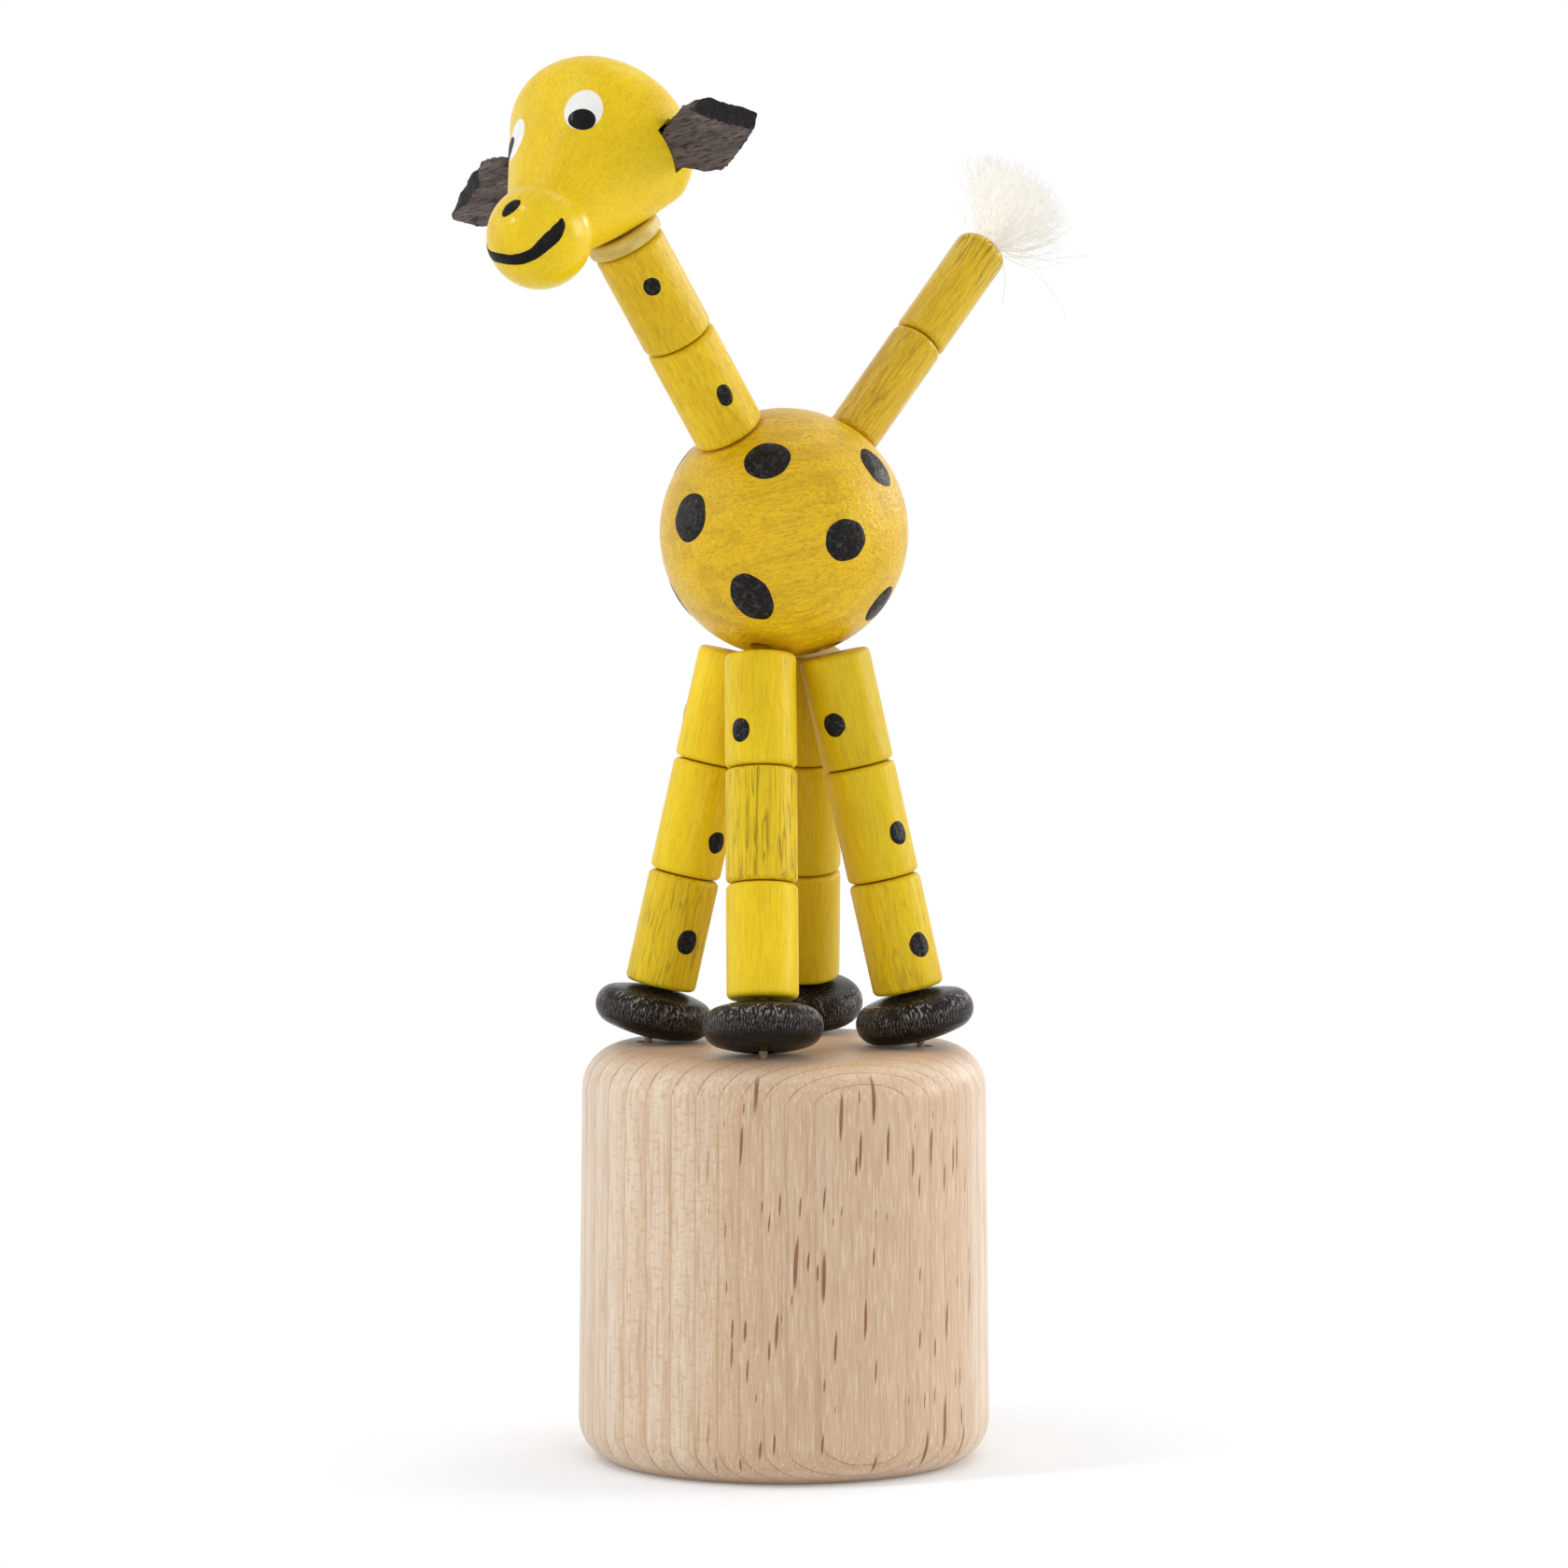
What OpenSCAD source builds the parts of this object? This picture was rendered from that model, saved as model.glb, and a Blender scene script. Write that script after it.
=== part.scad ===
// Push puppet: a yellow wooden giraffe of strung beads, standing on a turned beech drum.
// A sprung disc in the underside of the drum keeps four cords taut. Pressing it lets the figure fold.
// Frame: +Z up, origin at the middle of the drum's underside. The giraffe faces -Y and its left is +X.
// All sizes are in millimetres and all angles in degrees.

/* [Base drum] */
// Diameter of the drum at its foot
base_d = 36; // [34:0.1:44]
// Diameter of the drum at its top
base_top_d = 35.1; // [33:0.1:43]
// Height of the drum
base_h = 36.3; // [34:0.1:48]
// Radius of the rounded top edge
base_top_round = 3.8; // [0.5:0.1:5]
// Radius of the rounded bottom edge
base_bottom_round = 3.7; // [0.5:0.1:4]
// Diameter of the well bored up from the underside
well_d = 25.6; // [24:0.1:26.6]

/* [Push button] */
// Depth of the button's face inside the well
button_recess = 4.6; // [2:0.1:6]
// Thickness of the button's disc
button_h = 7; // [5:0.1:9]
// How far the button can be pressed
button_travel = 8; // [4:0.1:10]
// Radius of the button's rounded edges
button_round = 1; // [0.2:0.1:1.5]
// Height of the boss that centres the spring
boss_h = 3; // [1:0.1:4]
// Distance of the cord holes from the middle of the button
button_cord_r = 9.5; // [9:0.1:10.3]

/* [Return spring] */
// Diameter of the spring's wire
spring_wire_d = 0.9; // [0.6:0.05:1.2]
// Diameter of the spring at the middle of its wire
spring_d = 12; // [10:0.1:14]
// Number of turns
spring_turns = 6; // [4:1:7]
// Length that is left when the button is fully pressed and the turns lie close
spring_reserve = 2.1; // [0.5:0.1:4]

/* [Feet] */
// Diameter of a foot
foot_d = 10.4; // [8:0.1:11.5]
// Thickness of a foot
foot_h = 4.5; // [3.6:0.1:5.5]
// Radius of a foot's round rim
foot_rim_round = 1.75; // [0.8:0.05:1.75]
// Diameter of the circle through the middles of the four feet
foot_circle_d = 23; // [22.4:0.1:24.4]

/* [Legs] */
// Diameter of a leg bead
leg_bead_d = 6.2; // [5:0.1:6.6]
// Length of a leg bead
leg_bead_l = 9.9; // [8:0.1:10.5]
// Lean of each leg from upright
leg_lean = 12.6; // [12:0.1:13]
// Angle by which each leg leans past the middle, all the same way round, as the figure is twisted on its feet
leg_twist = 11; // [0:0.5:12]
// Radius of the rounded rims of all beads
bead_round = 0.5; // [0.2:0.05:0.8]

/* [Body ball] */
// Diameter of the body
ball_d = 21.6; // [18:0.1:25]
// Diameter of the hollow in which the ball's bores meet
pocket_d = 4.8; // [4:0.1:6]
// Diameter of the flat on which the neck stands
neck_flat_d = 6.6; // [6.4:0.1:8]

/* [Neck and collar] */
// Diameter of a neck bead
neck_bead_d = 6.25; // [5:0.05:6.4]
// Length of a neck bead
neck_bead_l = 9.65; // [7:0.05:12]
// Lean of the neck to the front
neck_lean = 33.5; // [25:0.5:40]
// Diameter of the collar ring under the head
collar_d = 6.7; // [6:0.1:8]
// Thickness of the collar ring
collar_h = 1.4; // [0.8:0.1:2]

/* [Head] */
// Greatest diameter of the head
skull_d = 16.3; // [15.4:0.1:18]
// Distance of the widest place behind the line of the ears
skull_widest = 1.2; // [0.6:0.1:1.6]
// Distance of the back of the head behind the line of the ears
skull_end = 6.6; // [6.2:0.1:7.6]
// Radius of the round edge between the cheeks and the back of the head
skull_round = 4; // [3:0.1:4.4]
// Height of the line of the ears above the collar
skull_rise = 6.35; // [6:0.05:7]
// Distance of the line of the ears behind the neck cord
skull_back = 2.2; // [0:0.1:2.6]
// Diameter of the muzzle
muzzle_d = 8.9; // [8.4:0.1:11]
// Distance from the line of the ears to the muzzle's middle
muzzle_reach = 12.2; // [11:0.1:15]
// Diameter of the waist between the skull and the muzzle
waist_d = 7.8; // [6:0.1:8.2]
// Angle by which the nose hangs below square to the neck
nose_drop = 6; // [0:0.5:12]
// Angle by which the head looks to its left
head_turn = 21; // [-40:1:40]
// Depth of the blind bore for the neck cords
head_bore_l = 8; // [5:0.1:10]

/* [Ears] */
// Length of an ear outside the skull
ear_l = 8.2; // [6:0.1:14]
// Greatest width of an ear
ear_w = 5.9; // [4.5:0.1:8]
// Width of an ear at its root
ear_root_w = 3.6; // [2.5:0.1:4.4]
// Distance of an ear's widest place from the skull
ear_widest = 3.8; // [3:0.1:5]
// Height of an ear's tip above its middle line
ear_tip_rise = 0.6; // [0:0.1:2]
// Distance of the ears' middle below the head's own axis
ear_drop = 1.5; // [0:0.1:3]
// Thickness of an ear
ear_t = 1.4; // [0.8:0.1:2]
// Depth of an ear's root in its slot
ear_set = 2.9; // [1.9:0.1:3.4]
// Radius of an ear's rounded side corners
ear_round = 1.4; // [0.2:0.1:2]

/* [Tail] */
// Diameter of a tail bead
tail_bead_d = 4.7; // [3.6:0.05:5]
// Length of a tail bead
tail_bead_l = 11.1; // [8:0.1:13]
// Radius of the rounded tip of the tail
tail_tip_round = 1; // [0.2:0.05:1.3]
// Lean of the tail to the back
tail_lean = 41.3; // [32:0.1:50]
// Length of the tuft beyond the tail
tuft_l = 9; // [8.4:0.1:12]
// Greatest diameter of the tuft
tuft_d = 7.6; // [4:0.1:8]
// Length of the tuft's root inside the tail
tuft_root_l = 2; // [1:0.1:4]

/* [Cords and bores] */
// Diameter of a cord
cord_d = 0.8; // [0.6:0.05:0.85]
// Diameter of every bore that a cord runs through
cord_bore_d = 2; // [1.9:0.05:2.4]
// Distance between the two cords that share a bore
cord_pitch = 0.9; // [0.88:0.01:0.95]
// Diameter of the knot at a cord's lower end
knot_d = 2.2; // [1.8:0.1:2.4]
// Depth of the button's pockets for the knots
knot_pocket_h = 2.6; // [2.4:0.1:3.5]

/* [Clearances] */
// Running gap all round the button
button_gap = 0.3; // [0.2:0.05:0.5]
// Gap between neighbouring beads on a cord
bead_gap = 0.12; // [0.05:0.01:0.3]
// Gap between the legs and the body
hip_gap = 0.3; // [0.15:0.01:0.5]
// Gap between a foot and the drum
foot_gap = 0.1; // [0.05:0.01:0.3]
// Gap all round a piece that is glued into its seat
glue_gap = 0.06; // [0.03:0.01:0.15]
// Gap at each end of the spring and between it and its boss
spring_gap = 0.15; // [0.1:0.01:0.4]

/* [Hidden] */
$fn = 96;

// Colours
beech = "burlywood";
stain = "gold";
soot = "#2b2624";
tan_ring = "#c8aa5f";
cotton = "ivory";
wire = "silver";

// Small overlap of cutting shapes, so that no cut ends on a face
cut = 0.5;

// Directions of the four legs round the drum, counted from +X
leg_angle = 45;
front_left = -leg_angle;
front_right = leg_angle - 180;
rear_left = leg_angle;
rear_right = 180 - leg_angle;

// Drum and button heights
spring_l = button_travel + (spring_turns + 1) * spring_wire_d + spring_reserve;
button_top = button_recess + button_h;
well_top = button_top + spring_l;
button_d = well_d - 2 * button_gap;
// Points per turn and sides of the spring's wire
spring_rings = 12;
spring_sides = 6;
// The boss clears the straight stretches between the wire's points
boss_d = spring_d * cos(180 / spring_rings) - spring_wire_d - 2 * spring_gap;
knot_pocket_d = knot_d + cord_d;

// A foot is two shallow domes that meet in a round rim
foot_rim_x = foot_d / 2 - foot_rim_round;
foot_cap_r = (pow(foot_rim_x, 2) / (foot_h / 2 - foot_rim_round) + foot_rim_round + foot_h / 2) / 2;
foot_tangent_x = foot_rim_x * foot_cap_r / (foot_cap_r - foot_rim_round);
foot_drop = foot_cap_r - (foot_cap_r - foot_h / 2) * cos(leg_lean);
foot_z = base_h + foot_gap + foot_drop;

// Places along a leg, counted from the middle of its foot
leg_step = leg_bead_l + bead_gap;
lower_at = foot_h / 2 + bead_gap;
leg_l = lower_at + 3 * leg_step - bead_gap;
// Point on a leg's axis, at a distance up from the middle of its foot
function on_leg(turn, up) =
    let (r = foot_circle_d / 2, in = up * sin(leg_lean), way = turn + leg_twist)
        [r * cos(turn) - in * cos(way), r * sin(turn) - in * sin(way), foot_z + up * cos(leg_lean)];

// The body rests on the rims of the leg tops, each rounded about a circle inside the bead
rim_r = leg_bead_d / 2 - bead_round;
rim_mid = on_leg(0, leg_l - bead_round);
leg_axis = (on_leg(0, leg_l) - on_leg(0, 0)) / leg_l;
rim_far = ball_d / 2 + hip_gap + bead_round;
// Distance from that circle to the middle of a ball at height z
function far_at(z) =
    let (v = [0, 0, z] - rim_mid, h = v * leg_axis)
        norm([h, norm(v - h * leg_axis) - rim_r]);
// Height of the ball's middle, from a guess that each round corrects by what is still missing
settle_rounds = 12;
function settled(z, rounds) = rounds == 0 ? z : settled(z + rim_far - far_at(z), rounds - 1);
ball_z = settled(rim_mid[2] + ball_d / 2, settle_rounds);

// Places along the neck and the tail, counted from the middle of the ball
neck_seat = sqrt(pow(ball_d / 2, 2) - pow(neck_flat_d / 2, 2));
neck_lower_at = neck_seat + bead_gap;
neck_upper_at = neck_lower_at + neck_bead_l + bead_gap;
collar_at = neck_upper_at + neck_bead_l + bead_gap;
head_at = collar_at + collar_h + bead_gap;
tail_lower_at = ball_d / 2 + bead_gap;
tail_upper_at = tail_lower_at + tail_bead_l + bead_gap;
tail_end = tail_upper_at + tail_bead_l;

// Head profile, with y = 0 on the line of the ears: a shallow dome, a round edge, straight cheeks and the muzzle
skull_r = skull_d / 2;
edge_at = [skull_r - skull_round, -skull_widest];
dome_h = skull_end - skull_widest;
dome_r = (pow(edge_at[0], 2) + pow(dome_h, 2) - pow(skull_round, 2)) / (2 * (dome_h - skull_round));
dome_y = dome_r - skull_end;
dome_x = edge_at[0] * dome_r / (dome_r - skull_round);
muzzle_r = muzzle_d / 2;
waist_y = muzzle_reach - sqrt(pow(muzzle_r, 2) - pow(waist_d / 2, 2));
// The cheeks touch a circle a little inside the round edge, so that they leave it at a slight angle
cheek_step = 0.03;
cheek_r = skull_round - cheek_step;
cheek_v = [waist_d / 2, waist_y] - edge_at;
cheek_angle = atan2(cheek_v[0], cheek_v[1]) + acos(cheek_r / norm(cheek_v));
cheek_at = edge_at + cheek_r * [sin(cheek_angle), cos(cheek_angle)];

// Turned and rounded shapes

// Takes the sharp corner p off an outline whose edges run from p to a and from p to b
module round_corner(a, p, b, r) {
    u = (a - p) / norm(a - p);
    v = (b - p) / norm(b - p);
    half = acos(u * v) / 2;
    middle = (u + v) / norm(u + v);
    centre = p + middle * r / sin(half);
    difference() {
        polygon([p - middle * cut, p + u * r / tan(half), centre, p + v * r / tan(half)]);
        translate(centre) circle(r);
    }
}

// An outline of straight edges whose corners are rounded by the listed radii
module rounded_outline(points, radii) {
    last = len(points) - 1;
    difference() {
        polygon(points);
        for (i = [0 : last])
            if (radii[i] > 0)
                round_corner(
                    points[i == 0 ? last : i - 1],
                    points[i],
                    points[i == last ? 0 : i + 1],
                    radii[i]);
    }
}

// A bored bead that stands on z = 0
module bead(d, l, top_round = bead_round) {
    bore_r = cord_bore_d / 2;
    rotate_extrude()
        rounded_outline(
            [[bore_r, 0], [d / 2, 0], [d / 2, l], [bore_r, l]],
            [0, bead_round, top_round, 0]);
}

// A foot, with its middle at the origin
module foot_disc() {
    cap_y = foot_cap_r - foot_h / 2;
    rotate_extrude()
        difference() {
            union() {
                intersection() {
                    translate([0, -cap_y]) circle(foot_cap_r);
                    translate([0, cap_y]) circle(foot_cap_r);
                    translate([0, -foot_h]) square([foot_tangent_x, 2 * foot_h]);
                }
                translate([foot_rim_x, 0]) circle(foot_rim_round);
            }
            translate([-foot_d, -foot_h]) square([foot_d + cord_bore_d / 2, 2 * foot_h]);
        }
}

// A cylinder from point a to point b
module rod(a, b, d) {
    v = b - a;
    translate(a)
        rotate([0, acos(v[2] / norm(v)), atan2(v[1], v[0])])
            cylinder(d = d, h = norm(v));
}

// A tube along points that climb, with a radius for each point
module swept_tube(points, radii, sides) {
    last = len(points) - 1;
    function along(i) = points[min(i + 1, last)] - points[max(i - 1, 0)];
    function ahead(i) = along(i) / norm(along(i));
    function aside(i) = cross([1, 0, 0], ahead(i)) / norm(cross([1, 0, 0], ahead(i)));
    rings = [
        for (i = [0 : last])
            for (k = [0 : sides - 1])
                points[i] + radii[i] * (cos(360 * k / sides) * aside(i)
                    + sin(360 * k / sides) * cross(ahead(i), aside(i)))
    ];
    walls = [
        for (i = [0 : last - 1])
            for (k = [0 : sides - 1])
                let (n = (k + 1) % sides, p = i * sides, q = p + sides)
                    each [[p + k, q + k, q + n], [p + k, q + n, p + n]]
    ];
    low_end = [for (k = [1 : sides - 2]) [0, k, k + 1]];
    high_end = [for (k = [1 : sides - 2]) [last * sides, last * sides + k + 1, last * sides + k]];
    polyhedron(rings, concat(walls, low_end, high_end), convexity = 10);
}

// Places in the figure

// Point on the neck's or the tail's axis, at a distance from the middle of the ball
function on_neck(far) = [0, -far * sin(neck_lean), ball_z + far * cos(neck_lean)];
function on_tail(far) = [0, far * sin(tail_lean), ball_z + far * cos(tail_lean)];

module at_leg(turn, up)
    translate(on_leg(turn, up)) rotate([0, 0, turn + leg_twist]) rotate([0, -leg_lean, 0]) children();

module at_neck(far)
    translate(on_neck(far)) rotate([neck_lean, 0, 0]) children();

module at_tail(far)
    translate(on_tail(far)) rotate([-tail_lean, 0, 0]) children();

// The middle of the line of the ears, with -Y to the muzzle, +X to the left ear and +Z to the crown
module at_skull()
    at_neck(head_at)
        rotate([0, 0, head_turn])
            translate([0, skull_back, skull_rise])
                rotate([nose_drop, 0, 0])
                    children();

// Cord routes

// Where a cord leaves the top of the button, and the point where it leaves the drum
function button_hole(turn) = [button_cord_r * cos(turn), button_cord_r * sin(turn), button_top];
function drum_hole(turn) = on_leg(turn, (base_h - foot_z) / cos(leg_lean));
function side_of(turn) = cos(turn) > 0 ? 1 : -1;
function end_of(turn) = sin(turn) > 0 ? 1 : -1;

// Spacing of a cord's points round a bend
bend_l = 1.2;
// Point in the ball's hollow where a cord turns into the neck or the tail
function turning(turn) = [side_of(turn) * cord_pitch / 2, end_of(turn) * cord_pitch / 2, ball_z];
function towards(a, b, far) = a + far * (b - a) / norm(b - a);

// Route from the top of the button to the ball's hollow
function lower_route(turn) =
    let (hip = on_leg(turn, leg_l), hole = drum_hole(turn), turn_at = turning(turn))
        [
            button_hole(turn),
            towards(button_hole(turn), hole, bend_l),
            towards(hole, button_hole(turn), bend_l),
            towards(hole, hip, bend_l),
            on_leg(turn, 0),
            on_leg(turn, lower_at + leg_step),
            on_leg(turn, lower_at + 2 * leg_step),
            towards(hip, hole, bend_l),
            towards(hip, turn_at, bend_l),
            towards(turn_at, hip, bend_l)
        ];
// Front cords end in the head, and rear cords in the tuft's root
function upper_route(turn) =
    let (aside = [side_of(turn) * cord_pitch / 2, 0, 0])
        end_of(turn) < 0
            ? [for (far = [2 * bend_l, neck_lower_at, neck_upper_at, collar_at,
                   head_at + head_bore_l - bend_l]) on_neck(far) + aside]
            : [for (far = [2 * bend_l, tail_lower_at, tail_upper_at,
                   tail_end - tuft_root_l - glue_gap]) on_tail(far) + aside];
// Middle of the knot
knot_mid = button_recess + knot_pocket_h - knot_d / 2 - glue_gap;
function knot_route(turn) =
    [for (step = knot_steps) [button_hole(turn)[0], button_hole(turn)[1], knot_mid + step[0]]];
// Heights counted from the knot's middle, and radii, that shape the knot up to the cord
knot_angles = [-75, -45, -15, 15, 45];
knot_steps = concat(
    [for (a = knot_angles) [knot_d / 2 * sin(a), knot_d / 2 * cos(a)]],
    [[knot_d / 2, cord_d / 2]]);

// Drum, button and spring

module base_drum() {
    foot_r = base_d / 2;
    top_r = base_top_d / 2;
    color(beech)
        difference() {
            rotate_extrude()
                rounded_outline(
                    [[0, 0], [foot_r, 0], [top_r, base_h], [0, base_h]],
                    [0, base_bottom_round, base_top_round, 0]);
            translate([0, 0, -cut]) cylinder(d = well_d, h = well_top + cut);
            for (turn = [front_left, front_right, rear_left, rear_right])
                rod(towards(button_hole(turn), drum_hole(turn), spring_l - 2 * bend_l),
                    towards(drum_hole(turn), button_hole(turn), -2 * bend_l), cord_bore_d);
        }
}

module push_button() {
    r = button_d / 2;
    color(beech)
        difference() {
            union() {
                translate([0, 0, button_recess])
                    rotate_extrude()
                        rounded_outline(
                            [[0, 0], [r, 0], [r, button_h], [0, button_h]],
                            [0, button_round, button_round, 0]);
                translate([0, 0, button_top - cut]) cylinder(d = boss_d, h = boss_h + cut);
            }
            for (turn = [front_left, front_right, rear_left, rear_right])
                translate([button_cord_r * cos(turn), button_cord_r * sin(turn), 0]) {
                    cylinder(d = cord_bore_d, h = button_top + cut);
                    cylinder(d = knot_pocket_d, h = button_recess + knot_pocket_h);
                }
        }
}

// Heights of the spring's wire
spring_low = button_top + spring_gap + spring_wire_d / 2;
spring_climb = spring_l - 2 * spring_gap - spring_wire_d;
spring_points = [
    for (i = [0 : spring_rings * spring_turns])
        let (a = 360 * i / spring_rings)
            [spring_d / 2 * cos(a), spring_d / 2 * sin(a),
                spring_low + spring_climb * i / (spring_rings * spring_turns)]
];
// Least distance between the wire's surfaces on neighbouring turns
spring_self_gap = min([
    for (i = [0 : len(spring_points) - 1])
        for (j = [i + spring_rings / 2 : 1 : len(spring_points) - 1])
            norm(spring_points[i] - spring_points[j])
]) - spring_wire_d;
echo(spring_self_gap = spring_self_gap);

// The wire's tube, whose rings stand upright and square to the turn
module return_spring() {
    last = len(spring_points) - 1;
    rings = [
        for (i = [0 : last])
            for (k = [0 : spring_sides - 1])
                let (a = 360 * i / spring_rings, b = 360 * k / spring_sides, r = spring_wire_d / 2)
                    spring_points[i] + r * [cos(b) * cos(a), cos(b) * sin(a), sin(b)]
    ];
    walls = [
        for (i = [0 : last - 1])
            for (k = [0 : spring_sides - 1])
                let (n = (k + 1) % spring_sides, p = i * spring_sides, q = p + spring_sides)
                    each [[p + k, q + n, q + k], [p + k, p + n, q + n]]
    ];
    low_end = [for (k = [1 : spring_sides - 2]) [0, k + 1, k]];
    top = last * spring_sides;
    high_end = [for (k = [1 : spring_sides - 2]) [top, top + k, top + k + 1]];
    color(wire) polyhedron(rings, concat(walls, low_end, high_end), convexity = 10);
}

// Legs

module leg_foot(turn) {
    color(soot) at_leg(turn, 0) foot_disc();
}

// The leg's beads are counted from 0 at the foot
module leg_bead(turn, number) {
    color(stain) at_leg(turn, lower_at + number * leg_step) bead(leg_bead_d, leg_bead_l);
}

// Body, neck and head

module body_ball() {
    middle = [0, 0, ball_z];
    color(stain)
        difference() {
            translate(middle) sphere(d = ball_d);
            at_neck(neck_seat) cylinder(d = 2 * neck_flat_d, h = ball_d);
            translate(middle) sphere(d = pocket_d);
            for (turn = [front_left, front_right, rear_left, rear_right])
                rod(middle, towards(middle, on_leg(turn, leg_l), ball_d), cord_bore_d);
            rod(middle, on_neck(ball_d), cord_bore_d);
            rod(middle, on_tail(ball_d), cord_bore_d);
        }
}

module neck_bead(far) {
    color(stain) at_neck(far) bead(neck_bead_d, neck_bead_l);
}

module neck_collar() {
    bore_r = cord_bore_d / 2;
    r = collar_d / 2;
    edge = collar_h / 4;
    color(tan_ring)
        at_neck(collar_at)
            rotate_extrude()
                rounded_outline(
                    [[bore_r, 0], [r, 0], [r, collar_h], [bore_r, collar_h]],
                    [0, edge, edge, 0]);
}

// Half outline of the head along its muzzle axis
module head_profile() {
    intersection() {
        union() {
            intersection() {
                translate([0, dome_y]) circle(dome_r);
                translate([0, -skull_d]) square([dome_x, skull_d - skull_widest]);
            }
            translate(edge_at) circle(skull_round);
            polygon([[0, -skull_widest], edge_at, cheek_at, [waist_d / 2, waist_y], [0, waist_y]]);
            translate([0, muzzle_reach]) circle(muzzle_r);
        }
        translate([0, -skull_d]) square([skull_d, 2 * skull_d + muzzle_reach]);
    }
}

// The turned shape's seam lies along the crown, away from the ear slots
module head() {
    color(stain)
        difference() {
            at_skull() rotate([90, 0, 0]) rotate([0, 0, 90]) rotate_extrude() head_profile();
            at_neck(head_at - skull_d) cylinder(d = 3 * skull_d, h = skull_d);
            at_neck(head_at - cut) cylinder(d = cord_bore_d, h = head_bore_l + cut);
            for (side = [-1, 1])
                at_skull() ear_blank(side, glue_gap);
        }
}

// An ear's flat shape, grown all round by a gap, that reaches out along +X or -X
module ear_blank(side, gap) {
    root = skull_r - ear_set - gap;
    wide = skull_r + ear_widest;
    half_root = ear_root_w / 2 + gap;
    half = ear_w / 2 + gap;
    mirror([side > 0 ? 0 : 1, 0, 0])
        rotate([90, 0, 0])
            translate([0, -ear_drop, -ear_t / 2 - gap])
                linear_extrude(ear_t + 2 * gap)
                    rounded_outline(
                        [
                            [root, -half_root],
                            [wide, -half],
                            [skull_r + ear_l, ear_tip_rise],
                            [wide, half],
                            [root, half_root]
                        ],
                        [0, ear_round, 0, ear_round, 0]);
}

module ear(side) {
    color(soot) at_skull() ear_blank(side, 0);
}

// Tail

module tail_bead(far, top_round) {
    color(stain) at_tail(far) bead(tail_bead_d, tail_bead_l, top_round);
}

// A drop of loose cotton whose root fills the end of the tail's bore
module tail_tuft() {
    root_r = cord_bore_d / 2 - glue_gap;
    r = tuft_d / 2;
    middle = tuft_l - r;
    lift = middle - bead_gap;
    tangent = atan2(root_r, lift) + acos(r / norm([root_r, lift]));
    color(cotton)
        at_tail(tail_end)
            rotate_extrude()
                intersection() {
                    union() {
                        translate([0, middle]) circle(r);
                        polygon([
                            [0, -tuft_root_l],
                            [root_r, -tuft_root_l],
                            [root_r, bead_gap],
                            [r * sin(tangent), middle - r * cos(tangent)],
                            [0, middle]
                        ]);
                    }
                    translate([0, -tuft_root_l - cut]) square([tuft_d, tuft_root_l + tuft_l + 2 * cut]);
                }
}

// Cords

cord_sides = 8;

module leg_cord(turn) {
    route = concat(lower_route(turn), upper_route(turn));
    points = concat(knot_route(turn), route);
    radii = concat([for (step = knot_steps) step[1]], [for (p = route) cord_d / 2]);
    color(cotton) swept_tube(points, radii, cord_sides);
}

base_drum();
push_button();
return_spring();
leg_foot(front_left);  // front_left_foot
leg_bead(front_left, 0);  // front_left_lower_bead
leg_bead(front_left, 1);  // front_left_middle_bead
leg_bead(front_left, 2);  // front_left_upper_bead
leg_foot(front_right);  // front_right_foot
leg_bead(front_right, 0);  // front_right_lower_bead
leg_bead(front_right, 1);  // front_right_middle_bead
leg_bead(front_right, 2);  // front_right_upper_bead
leg_foot(rear_left);  // rear_left_foot
leg_bead(rear_left, 0);  // rear_left_lower_bead
leg_bead(rear_left, 1);  // rear_left_middle_bead
leg_bead(rear_left, 2);  // rear_left_upper_bead
leg_foot(rear_right);  // rear_right_foot
leg_bead(rear_right, 0);  // rear_right_lower_bead
leg_bead(rear_right, 1);  // rear_right_middle_bead
leg_bead(rear_right, 2);  // rear_right_upper_bead
body_ball();
neck_bead(neck_lower_at);  // neck_lower_bead
neck_bead(neck_upper_at);  // neck_upper_bead
neck_collar();
head();
ear(1);  // left_ear
ear(-1);  // right_ear
tail_bead(tail_lower_at, bead_round);  // tail_lower_bead
tail_bead(tail_upper_at, tail_tip_round);  // tail_upper_bead
tail_tuft();
leg_cord(front_left);  // front_left_cord
leg_cord(front_right);  // front_right_cord
leg_cord(rear_left);  // rear_left_cord
leg_cord(rear_right);  // rear_right_cord
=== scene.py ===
# Dresses the push puppet's solids: stained wood, brushed paint, cotton cords and a frayed tuft.
import math
from functools import reduce

import bpy
import numpy as np
from mathutils import Matrix
from mathutils.bvhtree import BVHTree


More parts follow.
